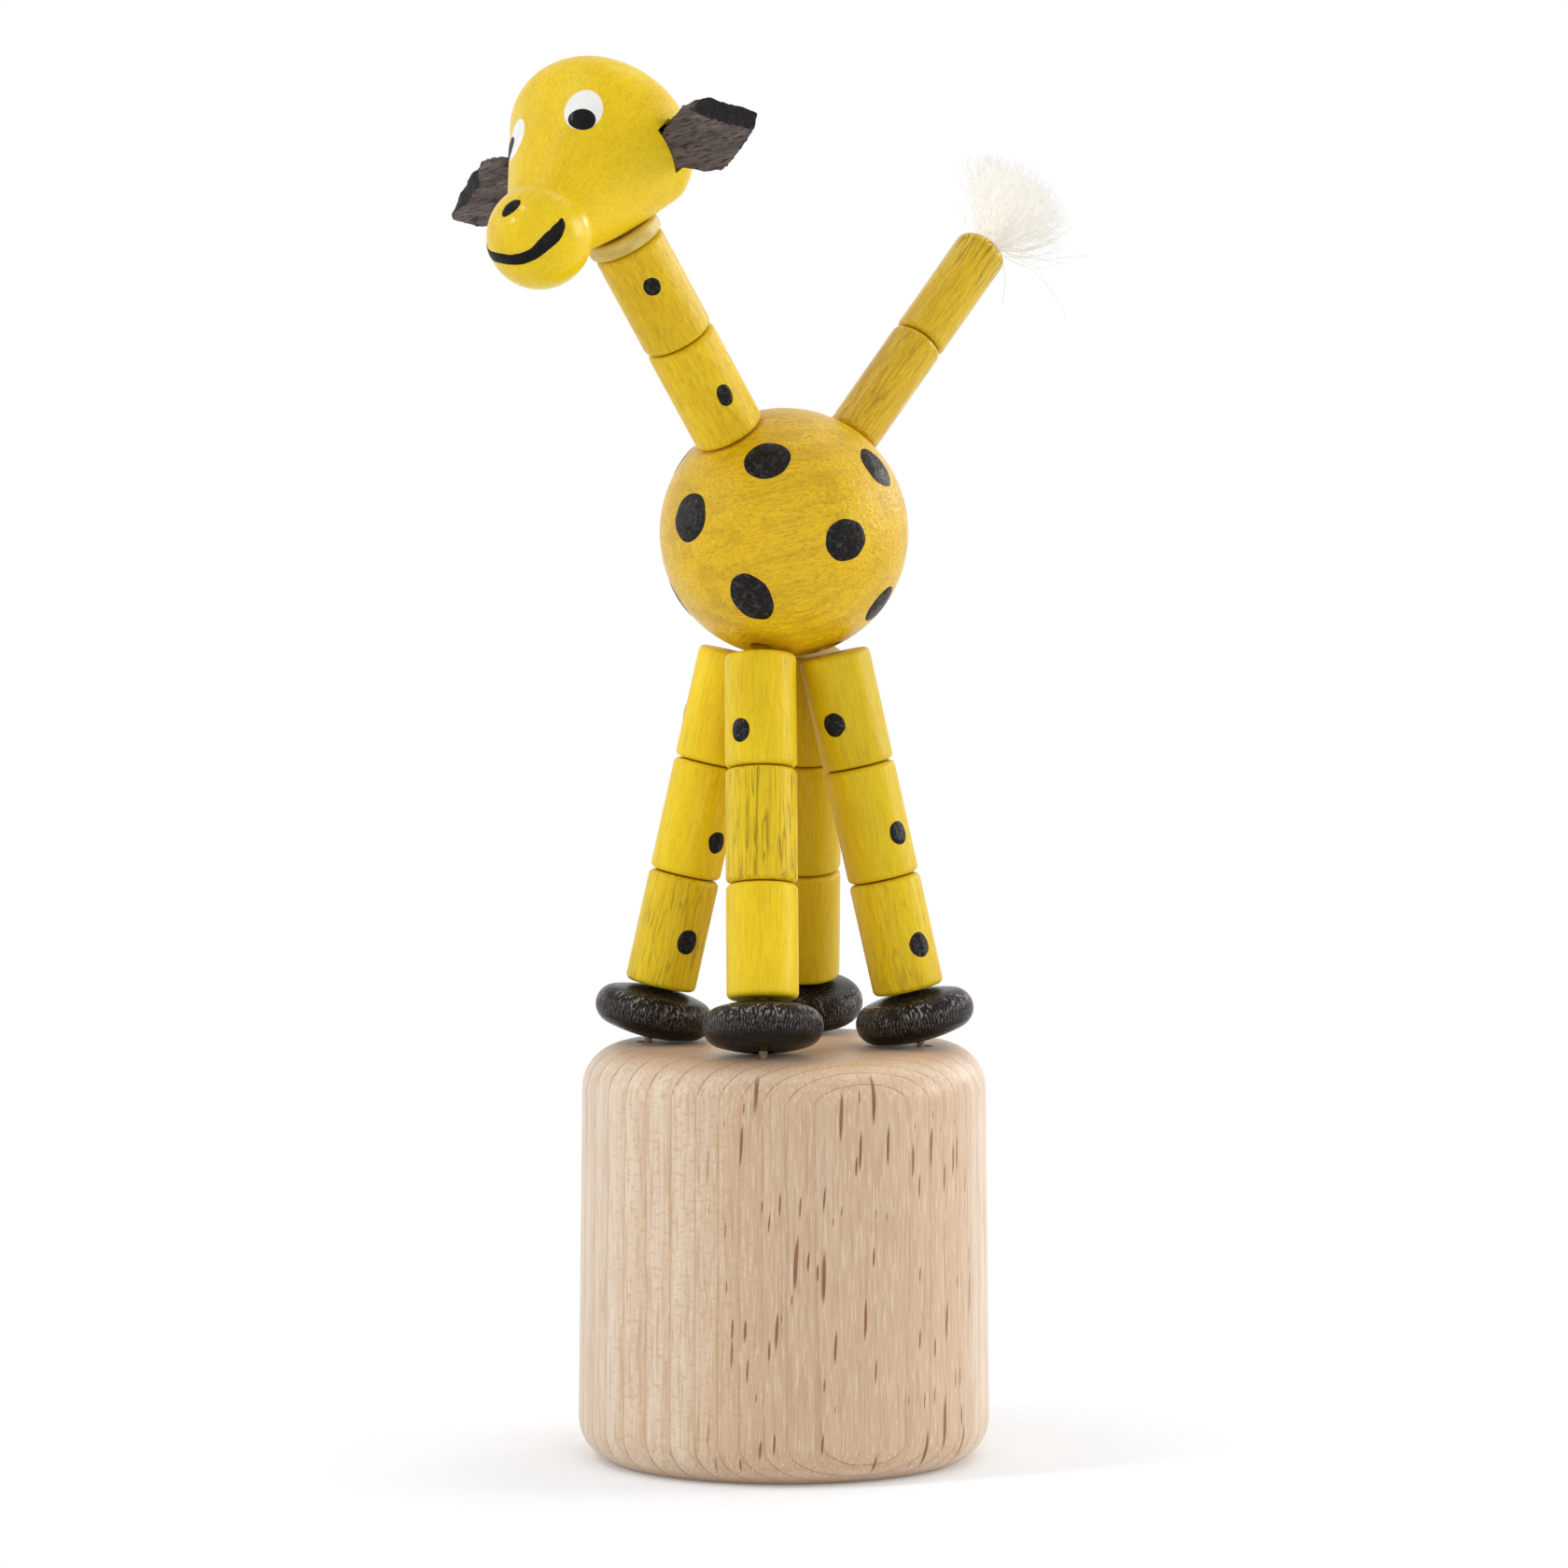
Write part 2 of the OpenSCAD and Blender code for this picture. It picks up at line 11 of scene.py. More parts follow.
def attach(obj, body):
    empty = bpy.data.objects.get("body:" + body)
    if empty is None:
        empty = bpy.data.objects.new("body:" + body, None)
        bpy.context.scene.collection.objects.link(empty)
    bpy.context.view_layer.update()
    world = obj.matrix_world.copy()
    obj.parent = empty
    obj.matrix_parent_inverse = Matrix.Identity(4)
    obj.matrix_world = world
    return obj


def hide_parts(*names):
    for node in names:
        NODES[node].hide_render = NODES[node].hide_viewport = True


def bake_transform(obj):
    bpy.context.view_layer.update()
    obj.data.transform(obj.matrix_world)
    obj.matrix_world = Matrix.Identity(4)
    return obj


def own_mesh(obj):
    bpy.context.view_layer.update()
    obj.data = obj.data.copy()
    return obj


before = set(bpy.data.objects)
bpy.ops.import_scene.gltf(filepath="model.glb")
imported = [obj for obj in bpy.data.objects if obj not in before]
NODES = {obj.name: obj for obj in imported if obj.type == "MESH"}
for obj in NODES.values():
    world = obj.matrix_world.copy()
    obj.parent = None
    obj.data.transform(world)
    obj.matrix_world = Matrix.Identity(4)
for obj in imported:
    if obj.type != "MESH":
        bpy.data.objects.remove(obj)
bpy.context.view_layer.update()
MM = 0.001
ROUND = 2 * math.pi

# Sizes of the solids, in millimetres and degrees
BASE_H, BASE_D, BASE_TOP_D = 36.3, 36.0, 35.1
BUTTON_TOP = 11.6
WELL_TOP = 28.0
BUTTON_CORD_R = 9.5
KNOT_MID = 6.04
SPRING_D, SPRING_WIRE_D, SPRING_TURNS, SPRING_GAP = 12.0, 0.9, 6, 0.15
FOOT_CIRCLE_R, FOOT_Z, FOOT_H = 11.5, 38.9306, 4.5
LEG_LEAN, LEG_TWIST = 12.6, 11.0
LOWER_AT, LEG_STEP, LEG_L, LEG_BEAD_L = 2.37, 10.02, 32.31, 9.9
BEAD_R = 3.1
BALL_Z, BALL_R = 80.8851, 10.8
NECK_LEAN, NECK_BEAD_L = 33.5, 9.65
NECK_LOWER_AT, NECK_UPPER_AT, COLLAR_AT, HEAD_AT = 10.4035, 20.1735, 29.9435, 31.4635
HEAD_BORE_L = 8.0
SKULL_RISE, SKULL_BACK = 6.35, 2.2
MUZZLE_R, MUZZLE_REACH, NOSE_DROP, HEAD_TURN = 4.45, 12.2, 6.0, 21.0
TAIL_LEAN, TAIL_BEAD_L = 41.3, 11.1
TAIL_LOWER_AT, TAIL_UPPER_AT, TAIL_END = 10.92, 22.14, 33.24
CORD_D, CORD_PITCH = 0.8, 0.9
LEGS = {"front_left": -45, "front_right": -135, "rear_left": 45, "rear_right": 135}

# The photograph's viewing direction, in degrees
VIEW_AZ, VIEW_EL = 54.0, 3.5


def rot(axis, deg):
    return np.array(Matrix.Rotation(math.radians(deg), 3, axis))


def polar(deg, r=1):
    a = math.radians(deg)
    return r * math.cos(a), r * math.sin(a)


def unit(v):
    v = np.asarray(v, float)
    return v / np.linalg.norm(v)


def axes_along(z):
    """Three axes whose last one runs along z."""
    z = unit(z)
    x = unit(np.cross((0, 0, 1) if abs(z[2]) < 0.9 else (1, 0, 0), z))
    return np.column_stack((x, np.cross(z, x), z))


class Place:
    """An origin in millimetres and three axes, as the columns of a matrix."""

    def __init__(self, origin, axes):
        self.origin = np.array(origin, float)
        self.axes = np.array(axes, float)

    def out(self, p):
        return self.origin + self.axes @ np.asarray(p, float)

    def way(self, d):
        return self.axes @ np.asarray(d, float)


def leg_place(turn):
    return Place((*polar(turn, FOOT_CIRCLE_R), FOOT_Z), rot("Z", turn + LEG_TWIST) @ rot("Y", -LEG_LEAN))


UP = np.array((0.0, 0.0, 1.0))
BALL = BALL_Z * UP
PLACES = {leg: leg_place(turn) for leg, turn in LEGS.items()}
NECK = PLACES["neck"] = Place(BALL, rot("X", NECK_LEAN))
TAIL = Place(BALL, rot("X", -TAIL_LEAN))
_turned = NECK.axes @ rot("Z", HEAD_TURN)
_skull = NECK.out((0, 0, HEAD_AT)) + _turned @ np.array((0, SKULL_BACK, SKULL_RISE))
SKULL = Place(_skull, _turned @ rot("X", NOSE_DROP))
MUZZLE = Place(SKULL.out((0, -MUZZLE_REACH, 0)), SKULL.axes)
(_x, _y), (_level, _up) = polar(VIEW_AZ), polar(VIEW_EL)
TO_VIEWER = np.array((_y * _level, -_x * _level, _up))
VIEW_RIGHT = np.array((_x, _y, 0.0))


# Material helpers


def linear(*rgb):
    """A colour as it looks on a screen, 0 to 255, for a shader's socket."""
    out = []
    for c in rgb:
        c /= 255
        out.append(c / 12.92 if c <= 0.04045 else ((c + 0.055) / 1.055) ** 2.4)
    return (*out, 1.0)


class Shade:
    """The nodes of a material or of the world, under construction. Lengths are in metres."""

    def __init__(self, owner):
        owner.use_nodes = True
        self.owner = owner
        self.tree = owner.node_tree
        self.tree.nodes.clear()

    def add(self, kind, ins=None, **props):
        node = self.tree.nodes.new("ShaderNode" + kind)
        for key, value in props.items():
            setattr(node, key, value)
        for key, value in (ins or {}).items():
            if isinstance(value, bpy.types.NodeSocket):
                self.tree.links.new(value, node.inputs[key])
            else:
                node.inputs[key].default_value = value
        return node

    def here(self):
        return self.add("TexCoord").outputs["Object"]

    def local(self, place):
        """Coordinates along a place's axes."""
        turn = Matrix([list(r) for r in place.axes]).to_euler()
        ins = {"Vector": self.here(), "Location": tuple(place.origin * MM), "Rotation": turn}
        return self.add("Mapping", ins, vector_type="TEXTURE").outputs[0]

    def moved(self, vec, shift=(0, 0, 0), scale=(1, 1, 1)):
        ins = {"Vector": vec, "Location": shift, "Scale": scale}
        return self.add("Mapping", ins, vector_type="POINT").outputs[0]

    def split(self, vec):
        return self.add("SeparateXYZ", {0: vec}).outputs

    def joined(self, x, y, z):
        return self.add("CombineXYZ", {0: x, 1: y, 2: z}).outputs[0]

    def dot(self, vec, way):
        return self.add("VectorMath", {0: vec, 1: way}, operation="DOT_PRODUCT").outputs["Value"]

    def math(self, op, a, b=0.0):
        return self.add("Math", {0: a, 1: b}, operation=op).outputs[0]

    def times(self, *values):
        return reduce(lambda a, b: self.math("MULTIPLY", a, b), values)

    def plus(self, *values):
        return reduce(lambda a, b: self.math("ADD", a, b), values)

    def less(self, a, b):
        return self.math("SUBTRACT", a, b)

    def absolute(self, a):
        return self.math("ABSOLUTE", a)

    def step(self, value, low, high, out_low=0.0, out_high=1.0):
        """A smooth change from out_low to out_high as the value goes from low to high."""
        ins = {0: value, 1: low, 2: high, 3: out_low, 4: out_high}
        return self.add("MapRange", ins, interpolation_type="SMOOTHSTEP").outputs[0]

    def fall(self, value, low, high):
        return self.step(value, low, high, 1.0, 0.0)

    def noise(self, vec, scale, detail=3.0, rough=0.55, warp=0.0):
        """Noise of about scale features to the metre."""
        ins = {"Vector": vec, "Scale": scale, "Detail": detail, "Roughness": rough, "Distortion": warp}
        return self.add("TexNoise", ins).outputs[0]

    def vein(self, *noise):
        """How far a noise is from its middle, which is 0 along winding lines."""
        return self.absolute(self.less(self.noise(*noise), 0.5))

    def mix(self, fac, a, b):
        """Two colours mixed. Each is a socket, or three numbers from 0 to 255 as it looks on a screen."""
        a, b = (linear(*c) if isinstance(c, tuple) else c for c in (a, b))
        return self.add("Mix", {0: fac, 6: a, 7: b}, data_type="RGBA").outputs[2]

    def tint(self, colour, mask, share, other):
        """The colour, changed to the other one by a share where the mask is 1."""
        return self.mix(self.times(mask, share), colour, other)

    def bump(self, height, strength, distance):
        return self.add("Bump", {"Height": height, "Strength": strength, "Distance": distance}).outputs[0]

    def seen(self):
        """1 for camera, glossy and transmission rays."""
        path = self.add("LightPath").outputs
        seen = self.math("MAXIMUM", path["Is Camera Ray"], path["Is Glossy Ray"])
        return self.math("MAXIMUM", seen, path["Is Transmission Ray"])

    def principled(self, colour, rough, skin, specular=0.5, **more):
        """A Principled shader. More of its sockets are named as in coat_weight."""
        ins = {"Base Color": colour, "Roughness": rough, "Normal": skin, "Specular IOR Level": specular}
        ins |= {key.replace("_", " ").title(): value for key, value in more.items()}
        return self.add("BsdfPrincipled", ins)

    def output(self, shader, kind="OutputMaterial"):
        self.tree.links.new(shader.outputs[0], self.add(kind).inputs[0])
        return self.owner

    def finish(self, *look, **more):
        return self.output(self.principled(*look, **more))


def shade(name):
    return Shade(bpy.data.materials.new(name))


# Yellow stain in broad areas, in bands, along grain lines and in pores
BROAD_SHADE, BAND_SHADE = (212, 164, 10), (172, 126, 14)
LINE_SHADE, PORE_SHADE = (112, 82, 8), (164, 122, 8)
# Where the muzzle begins, from the skull's middle
MUZZLE_FROM = (0.0092, 0.0108)


def yellow_wood(
    name, place, seed, streak, speckle, stretch, light, deep, peel=0.0, rough=(0.34, 0.5), coat=0.3,
    satin=(0.34, 0.5), muzzle=False, cracks=None, dense=False, bands=0.0, pebbled=False,
):
    """Yellow stain over wood whose fibres run along the place's last axis.

    streak, speckle and bands: how dark the grain lines, pores and broad bands are. stretch: the fibres' length.
    light, deep: the stain's tones. peel: its lumps, which the clear coat follows if pebbled.
    cracks: where dark cracks begin and are deepest, in millimetres.
    """
    s = shade(name)
    here = s.local(place)
    shift = (0.013 * seed, 0.021 * seed, 0.017 * seed)

    def drawn_out(share):
        return s.moved(here, shift, (1, 1, share))

    broad = s.noise(drawn_out(0.4), 230.0, 2.0)
    fine = s.noise(drawn_out(1 / stretch), 5200.0, 3.0, 0.62)
    colour = s.mix(s.step(fine, 0.36, 0.68), light, deep)
    colour = s.tint(colour, s.step(broad, 0.45, 0.75), 0.3, BROAD_SHADE)
    if bands:
        years = s.noise(drawn_out(0.1), 560.0, 3.0, 0.6, 0.6)
        colour = s.tint(colour, s.step(years, 0.46, 0.64), bands, BAND_SHADE)
    if dense:
        wavy = s.vein(drawn_out(0.055), 2700.0, 1.0, 0.4, 0.4)
        lines = s.times(s.fall(wavy, 0.0, 0.05), s.step(broad, 0.2, 0.5, 0.55, 1.0))
    else:
        grain = s.vein(drawn_out(0.07), 1500.0, 2.0, 0.5, 0.5)
        if cracks:
            lines = s.times(s.fall(grain, 0.0, 0.045), s.step(s.split(here)[2], cracks[0] * MM, cracks[1] * MM))
        else:
            lines = s.times(s.fall(grain, 0.0, 0.032), s.step(broad, 0.34, 0.56))
    colour = s.tint(colour, lines, streak, LINE_SHADE)
    dots = s.step(s.noise(drawn_out(0.4), 5200.0, 2.0, 0.7), 0.54, 0.7)
    colour = s.tint(colour, dots, speckle, PORE_SHADE)
    height = s.less(s.times(fine, 0.4), s.plus(s.times(lines, 0.6), s.times(dots, 0.6)))
    if peel:
        height = s.plus(height, s.times(s.noise(here, 2300.0, 2.0, 0.6), peel))
    dull = s.step(broad, 0.3, 0.7, *satin)
    if muzzle:
        # The ball of the nose is rubbed smoother than the skull
        dull = s.times(dull, s.step(s.split(here)[2], *MUZZLE_FROM, 1.0, 0.5))
    skin = s.bump(height, 0.4, 0.00007)
    more = {"coat_normal": skin} if pebbled else {}
    rough = s.step(fine, 0.3, 0.75, *rough)
    return s.finish(colour, rough, skin, specular=0.1, coat_weight=coat, coat_roughness=dull, **more)


# How fast the drum narrows upwards, as a share to the metre
DRUM_TAPER = (BASE_D / BASE_TOP_D - 1) / (BASE_H * MM)
DRUM_R = 0.018
# Growth rings are flat sheets across the first direction. Flakes show on sides that face the second.
RING_WAY = (0.973, -0.23, 0.0)
FLAKE_WAY = (0.39, -0.921, 0.0)


def beech_wood(name):
    """Bare beech: thin ring lines, dark dashes of rays where a side faces the rings, and soft flakes between."""
    s = shade(name)
    here = s.here()
    x, y, z = s.split(here)
    normal = s.add("NewGeometry").outputs["Normal"]
    up = s.absolute(s.split(normal)[2])
    # The rings narrow with the drum's taper, so their lines run straight up its side
    taper = s.plus(1.0, s.times(z, DRUM_TAPER))
    level = s.math("SQRT", s.less(1.0, s.times(up, up)))
    facing = s.math("DIVIDE", s.absolute(s.dot(normal, RING_WAY)), s.math("MAXIMUM", level, 0.05))
    tangent = s.times(s.step(facing, 0.6, 0.86), s.fall(up, 0.5, 0.8))
    fibre = s.moved(here, (0.3, 0.1, 0.0), (1, 1, 0.045))
    fine = s.noise(fibre, 3600.0, 3.0, 0.62)
    fuzz = s.noise(s.moved(here, (0.7, 0.2, 0.0), (1, 1, 0.07)), 5600.0, 2.0, 0.6)
    soft = s.noise(fibre, 520.0, 2.0, 0.5)
    wave = s.times(s.less(s.noise(s.moved(here, scale=(1, 1, 0.12)), 90.0, 2.0), 0.5), 0.0009)
    depth = s.plus(s.times(s.dot(here, RING_WAY), taper), wave)
    # The sheets lie 2.7 mm apart in the middle and closer towards both sides
    years = s.plus(s.times(depth, 370.0), s.times(s.math("POWER", depth, 5.0), 2.0e9))
    ring = s.math("FRACT", years)
    late = s.step(ring, 0.25, 0.93)
    edge = s.times(s.step(ring, 0.88, 0.955), s.fall(ring, 0.965, 0.999))
    colour = s.mix(tangent, (232, 211, 187), (213, 183, 151))
    colour = s.tint(colour, s.step(soft, 0.35, 0.7), 0.45, (214, 180, 144))
    colour = s.tint(colour, late, 0.26, (200, 162, 124))
    bent = s.step(up, 0.1, 0.45, 0.3, 0.75)
    colour = s.tint(colour, edge, bent, (162, 112, 70))
    colour = s.tint(colour, s.step(fine, 0.46, 0.68), 0.5, (186, 148, 112))
    colour = s.tint(colour, s.step(fuzz, 0.5, 0.7), 0.42, (246, 231, 208))
    # Flakes of the rays lie flat where a side cuts across the rings
    around = s.times(s.math("ARCTAN2", y, x), DRUM_R)
    drift = s.times(s.less(s.noise(here, 170.0, 1.0), 0.5), 0.0004)
    flat = s.joined(s.plus(around, drift, s.times(z, -0.05)), z, 0.0)
    flake = s.noise(s.moved(flat, (0.4, 0.9, 0), (0.55, 1, 1)), 2300.0, 2.0, 0.6)
    on_flakes = s.times(s.step(s.absolute(s.dot(normal, FLAKE_WAY)), 0.84, 0.95), s.fall(up, 0.2, 0.4))
    flakes = s.times(s.step(flake, 0.5, 0.68), on_flakes)
    colour = s.tint(colour, flakes, 0.5, (210, 164, 112))

    def dashes(width, length, shift, least, most, share):
        """A mask of tapered dashes, one in each kept cell of a grid of so many millimetres."""
        grid = s.moved(flat, (shift, shift * 1.7, 0), (1000 / width, 1000 / length, 1))
        cell = s.add("TexVoronoi", {"Vector": grid, "Scale": 1.0, "Randomness": 1.0}, voronoi_dimensions="2D")
        draw = s.split(cell.outputs["Color"])
        far = s.math("DIVIDE", cell.outputs["Distance"], s.step(draw[1], 0.0, 1.0, least, most))
        return s.times(s.fall(far, 0.55, 1.0), s.step(draw[0], 1 - share, 1.02 - share))

    rays = s.math("MAXIMUM", dashes(1.3, 15.0, 0.37, 0.06, 0.19, 0.7), dashes(1.0, 8.0, 3.11, 0.05, 0.15, 0.4))
    rays = s.times(rays, tangent)
    tone = s.mix(s.noise(here, 260.0, 1.0), (110, 62, 28), (154, 100, 56))
    colour = s.tint(colour, rays, 0.92, tone)
    # Cut fibre ends darken the top and the underside
    ends = s.noise(here, 4200.0, 2.0, 0.7)
    end_tone = s.mix(s.step(ends, 0.4, 0.7), (214, 178, 140), (190, 150, 112))
    end_tone = s.tint(end_tone, edge, 0.5, (160, 116, 80))
    colour = s.tint(colour, s.step(up, 0.6, 0.95), 0.85, end_tone)
    height = s.less(s.plus(s.times(fine, 0.6), s.times(fuzz, 0.5)), rays)
    rough, skin = s.step(fine, 0.3, 0.7, 0.36, 0.5), s.bump(height, 0.35, 0.00007)
    return s.finish(colour, rough, skin, sheen_weight=0.12, sheen_roughness=0.45)


def black_stain(name, place):
    """Near black stain, scored across the rim, with painted glints in pale grey along the scores and on broken
    ridges above them, and turning lines on the domes.
    """
    s = shade(name)
    here = s.local(place)
    x, y, z = s.split(here)
    r = s.math("SQRT", s.plus(s.math("POWER", x, 2.0), s.math("POWER", y, 2.0)))
    angle = s.math("ARCTAN2", y, x)
    grain = s.noise(here, 3800.0, 3.0, 0.7)
    turns = s.math("SINE", s.plus(s.times(r, 17000.0), s.times(s.noise(here, 900.0, 2.0), 4.0)))
    # Ticks across the rim, and broken ridges above them, which are painted pale grey as glints
    ticks = s.math("SINE", s.plus(s.times(angle, 118.0), s.times(s.noise(here, 1100.0, 2.0), 18.0)))
    band = s.times(s.step(z, -0.0011, -0.0004), s.fall(z, 0.0002, 0.0008))
    ridge = s.noise(s.joined(s.times(angle, 0.0055), s.times(z, 0.45), s.times(r, 0.6)), 4600.0, 1.0, 0.5)
    upper = s.times(s.step(z, -0.0001, 0.0005), s.step(r, 0.0036, 0.0048))
    patch = s.step(s.noise(here, 700.0, 2.0, 0.6), 0.38, 0.6)
    ticked_glints = s.times(s.step(ticks, 0.2, 0.95), s.step(grain, 0.35, 0.6), s.times(band, 0.55))
    ridge_glints = s.times(s.step(ridge, 0.52, 0.64), upper, patch)
    rings = s.times(s.step(turns, 0.3, 1.0), s.step(grain, 0.45, 0.65), s.fall(r, 0.0036, 0.0046))
    colour = s.mix(s.step(grain, 0.4, 0.75), (21, 16, 14), (44, 36, 31))
    # Painted glints: pale grey on the rim's ticks and on the ridges above them
    colour = s.tint(colour, s.math("MAXIMUM", ticked_glints, ridge_glints), 0.75, (158, 150, 144))
    colour = s.tint(colour, rings, 0.45, (98, 84, 64))
    height = s.plus(
        s.times(ridge, upper, 1.2), s.times(ticks, band, 0.25), s.plus(s.times(turns, 0.1), s.times(grain, 0.25))
    )
    rough, skin = s.step(grain, 0.3, 0.7, 0.16, 0.3), s.bump(height, 0.7, 0.00014)
    return s.finish(colour, rough, skin, specular=0.12)


def ear_wood(name, place):
    """Charred looking sawn wood, with pale fibres along the ear."""
    s = shade(name)
    here = s.local(place)
    fibre = s.moved(here, (0.2, 0.1, 0.4), (0.1, 1, 1))
    fine = s.noise(fibre, 5200.0, 4.0, 0.7)
    soft = s.noise(fibre, 1100.0, 2.0)
    crack = s.noise(s.moved(here, (0.6, 0.3, 0.8), (0.16, 1, 1)), 4400.0, 2.0, 0.6)
    colour = s.mix(s.step(soft, 0.35, 0.7), (84, 75, 74), (110, 98, 96))
    colour = s.tint(colour, s.step(fine, 0.55, 0.72), 0.7, (158, 142, 128))
    colour = s.tint(colour, s.step(crack, 0.52, 0.62), 0.8, (40, 34, 33))
    # Only the two broad sides show fibres, and the sawn edges stay black
    broad = s.absolute(s.dot(s.add("NewGeometry").outputs["True Normal"], tuple(place.axes[:, 1])))
    lit = s.step(s.noise(here, 3000.0, 3.0, 0.7), 0.45, 0.75)
    edge = s.tint((20, 17, 17), lit, 0.5, (58, 51, 49))
    # Towards the root the upper edge is broken, not sawn
    out = s.absolute(s.split(here)[0])
    torn = s.times(s.step(out, 0.0088, 0.0095), s.fall(out, 0.0114, 0.0122))
    edge = s.mix(torn, edge, colour)
    colour = s.mix(s.step(broad, 0.75, 0.93), edge, colour)
    height = s.plus(fine, s.times(s.noise(here, 2600.0, 3.0, 0.7), 0.7))
    rough, skin = s.step(fine, 0.3, 0.7, 0.5, 0.72), s.bump(height, 0.6, 0.00012)
    return s.finish(colour, rough, skin, specular=0.22)


def paint(name, colour, other, rough, bump, gloss, thin_and_glint_tone=None):
    """A brushed drop of thick gloss paint, with a lumpy skin. The last tone, if given, is for lighter mottles:
    partly where the brush left it thin, partly painted glints.
    """
    s = shade(name)
    here = s.here()
    grain = s.noise(here, 3300.0, 3.0, 0.65)
    soft = s.noise(here, 700.0, 2.0)
    mixed = s.mix(s.step(soft, 0.35, 0.7), colour, other)
    if thin_and_glint_tone:
        # Lighter mottles, partly thin brushwork and partly painted glints
        mixed = s.tint(mixed, s.step(s.noise(here, 2500.0, 3.0, 0.7, 0.8), 0.5, 0.68), 0.8, thin_and_glint_tone)
    skin = s.bump(s.plus(s.times(grain, 0.22), soft), bump, 0.0003)
    return s.finish(
        mixed, s.step(grain, 0.35, 0.7, 0.4, 0.6), skin, specular=0.05, coat_weight=gloss,
        coat_roughness=s.step(grain, 0.35, 0.7, rough, rough + 0.08), coat_normal=skin,
    )


def tan_lacquer(name):
    s = shade(name)
    here = s.local(NECK)
    flow = s.noise(s.moved(here, (0.1, 0, 0), (1, 1, 2.5)), 620.0, 3.0)
    fine = s.noise(here, 3200.0, 2.0)
    return s.finish(
        s.mix(s.step(flow, 0.35, 0.7), (216, 190, 98), (198, 170, 80)),
        s.step(fine, 0.3, 0.7, 0.36, 0.5),
        s.bump(s.plus(flow, s.times(fine, 0.3)), 0.25, 0.00006),
        subsurface_weight=0.15, subsurface_radius=(0.0012, 0.0007, 0.0003), subsurface_scale=1.0,
    )


def cotton(name, light, dark, scale, through=0.0):
    """Cotton fibre. through is the share of light that passes."""
    s = shade(name)
    fuzz = s.noise(s.here(), scale, 3.0, 0.7)
    colour = s.mix(s.step(fuzz, 0.35, 0.7), dark, light)
    skin = s.bump(fuzz, 0.4, 0.00005)
    rough = s.step(fuzz, 0.3, 0.7, 0.8, 0.95)
    solid = s.principled(colour, rough, skin, sheen_weight=0.3, specular=0.2)
    if not through:
        return s.output(solid)
    glow = s.add("BsdfTranslucent", {"Color": colour, "Normal": skin})
    return s.output(s.add("MixShader", {0: through, 1: solid.outputs[0], 2: glow.outputs[0]}))


def drawn_wire(name):
    s = shade(name)
    scratch = s.noise(s.moved(s.here(), scale=(1, 1, 6)), 1500.0, 3.0)
    return s.finish(
        s.mix(s.step(scratch, 0.35, 0.7), (170, 170, 173), (140, 140, 144)),
        s.step(scratch, 0.3, 0.7, 0.28, 0.45),
        s.bump(scratch, 0.2, 0.00003),
        metallic=1.0,
    )


# Mesh helpers


class Sheet:
    """Points and faces that are gathered for one piece, in millimetres."""

    def __init__(self):
        self.points = []
        self.faces = []
        self.looks = []

    def add(self, points, faces, look=0):
        k = len(self.points)
        self.points += [tuple(p) for p in points]
        self.faces += [tuple(i + k for i in f) for f in faces]
        self.looks += [look] * len(faces)

    def piece(self, name, materials, smooth=True):
        mesh = bpy.data.meshes.new(name)
        mesh.from_pydata([tuple(c * MM for c in p) for p in self.points], [], self.faces)
        for m in materials:
            mesh.materials.append(m)
        mesh.polygons.foreach_set("material_index", self.looks)
        mesh.polygons.foreach_set("use_smooth", [smooth] * len(self.faces))
        mesh.update()
        obj = bpy.data.objects.new(name, mesh)
        bpy.context.scene.collection.objects.link(obj)
        return obj


def band_faces(low, high, n):
    """Faces between two rings of n points that begin at the points low and high."""
    return [(low + k, low + (k + 1) % n, high + (k + 1) % n, high + k) for k in range(n)]


def ring_faces(rings, sides, closed_ends=True):
    """Faces of a tube whose points lie ring by ring."""
    faces = []
    for i in range(rings - 1):
        faces += band_faces(i * sides, (i + 1) * sides, sides)
    if closed_ends:
        faces.append(tuple(range(sides))[::-1])
        faces.append(tuple((rings - 1) * sides + k for k in range(sides)))
    return faces


def steps_along(p):
    """The length run at each point of a path."""
    return np.concatenate(([0], np.cumsum(np.linalg.norm(np.diff(p, axis=0), axis=1))))


def across(points):
    """A path's points and two directions across it at each of them, which do not twist."""
    p = np.asarray(points, float)
    t = np.gradient(p, axis=0)
    t /= np.linalg.norm(t, axis=1)[:, None]
    side = [unit(np.cross(t[0], (0.3, 0.5, 0.81)))]
    for k in range(1, len(p)):
        side.append(unit(side[-1] - t[k] * (side[-1] @ t[k])))
    side = np.array(side)
    return p, side, np.cross(t, side)


def resampled(points, spacing):
    p = np.asarray(points, float)
    far = steps_along(p)
    n = max(2, int(math.ceil(far[-1] / spacing)) + 1)
    want = np.linspace(0, far[-1], n)
    return np.column_stack([np.interp(want, far, p[:, k]) for k in range(3)])


def eased(points, rounds=3):
    """Corner-cut path whose ends stay."""
    p = np.asarray(points, float)
    for _ in range(rounds):
        q = [p[0]]
        for a, b in zip(p[:-1], p[1:]):
            q += [0.75 * a + 0.25 * b, 0.25 * a + 0.75 * b]
        q.append(p[-1])
        p = np.array(q)
    return p


def corners(sides):
    return ROUND * np.arange(sides)[None] / sides


def sweep(sheet, path, turn, radii):
    """Rings round a path. Angles and radii have one row, or one for each of its points."""
    p, a, b = path
    turn = turn[:, :, None]
    rings = p[:, None] + radii[:, :, None] * (np.cos(turn) * a[:, None] + np.sin(turn) * b[:, None])
    sheet.add(rings.reshape(-1, 3), ring_faces(len(p), turn.shape[1]))


def tube(sheet, points, radii, sides):
    sweep(sheet, across(points), corners(sides), radii[:, None])


CORD_SIDES, CORD_LAY = 10, 2.1


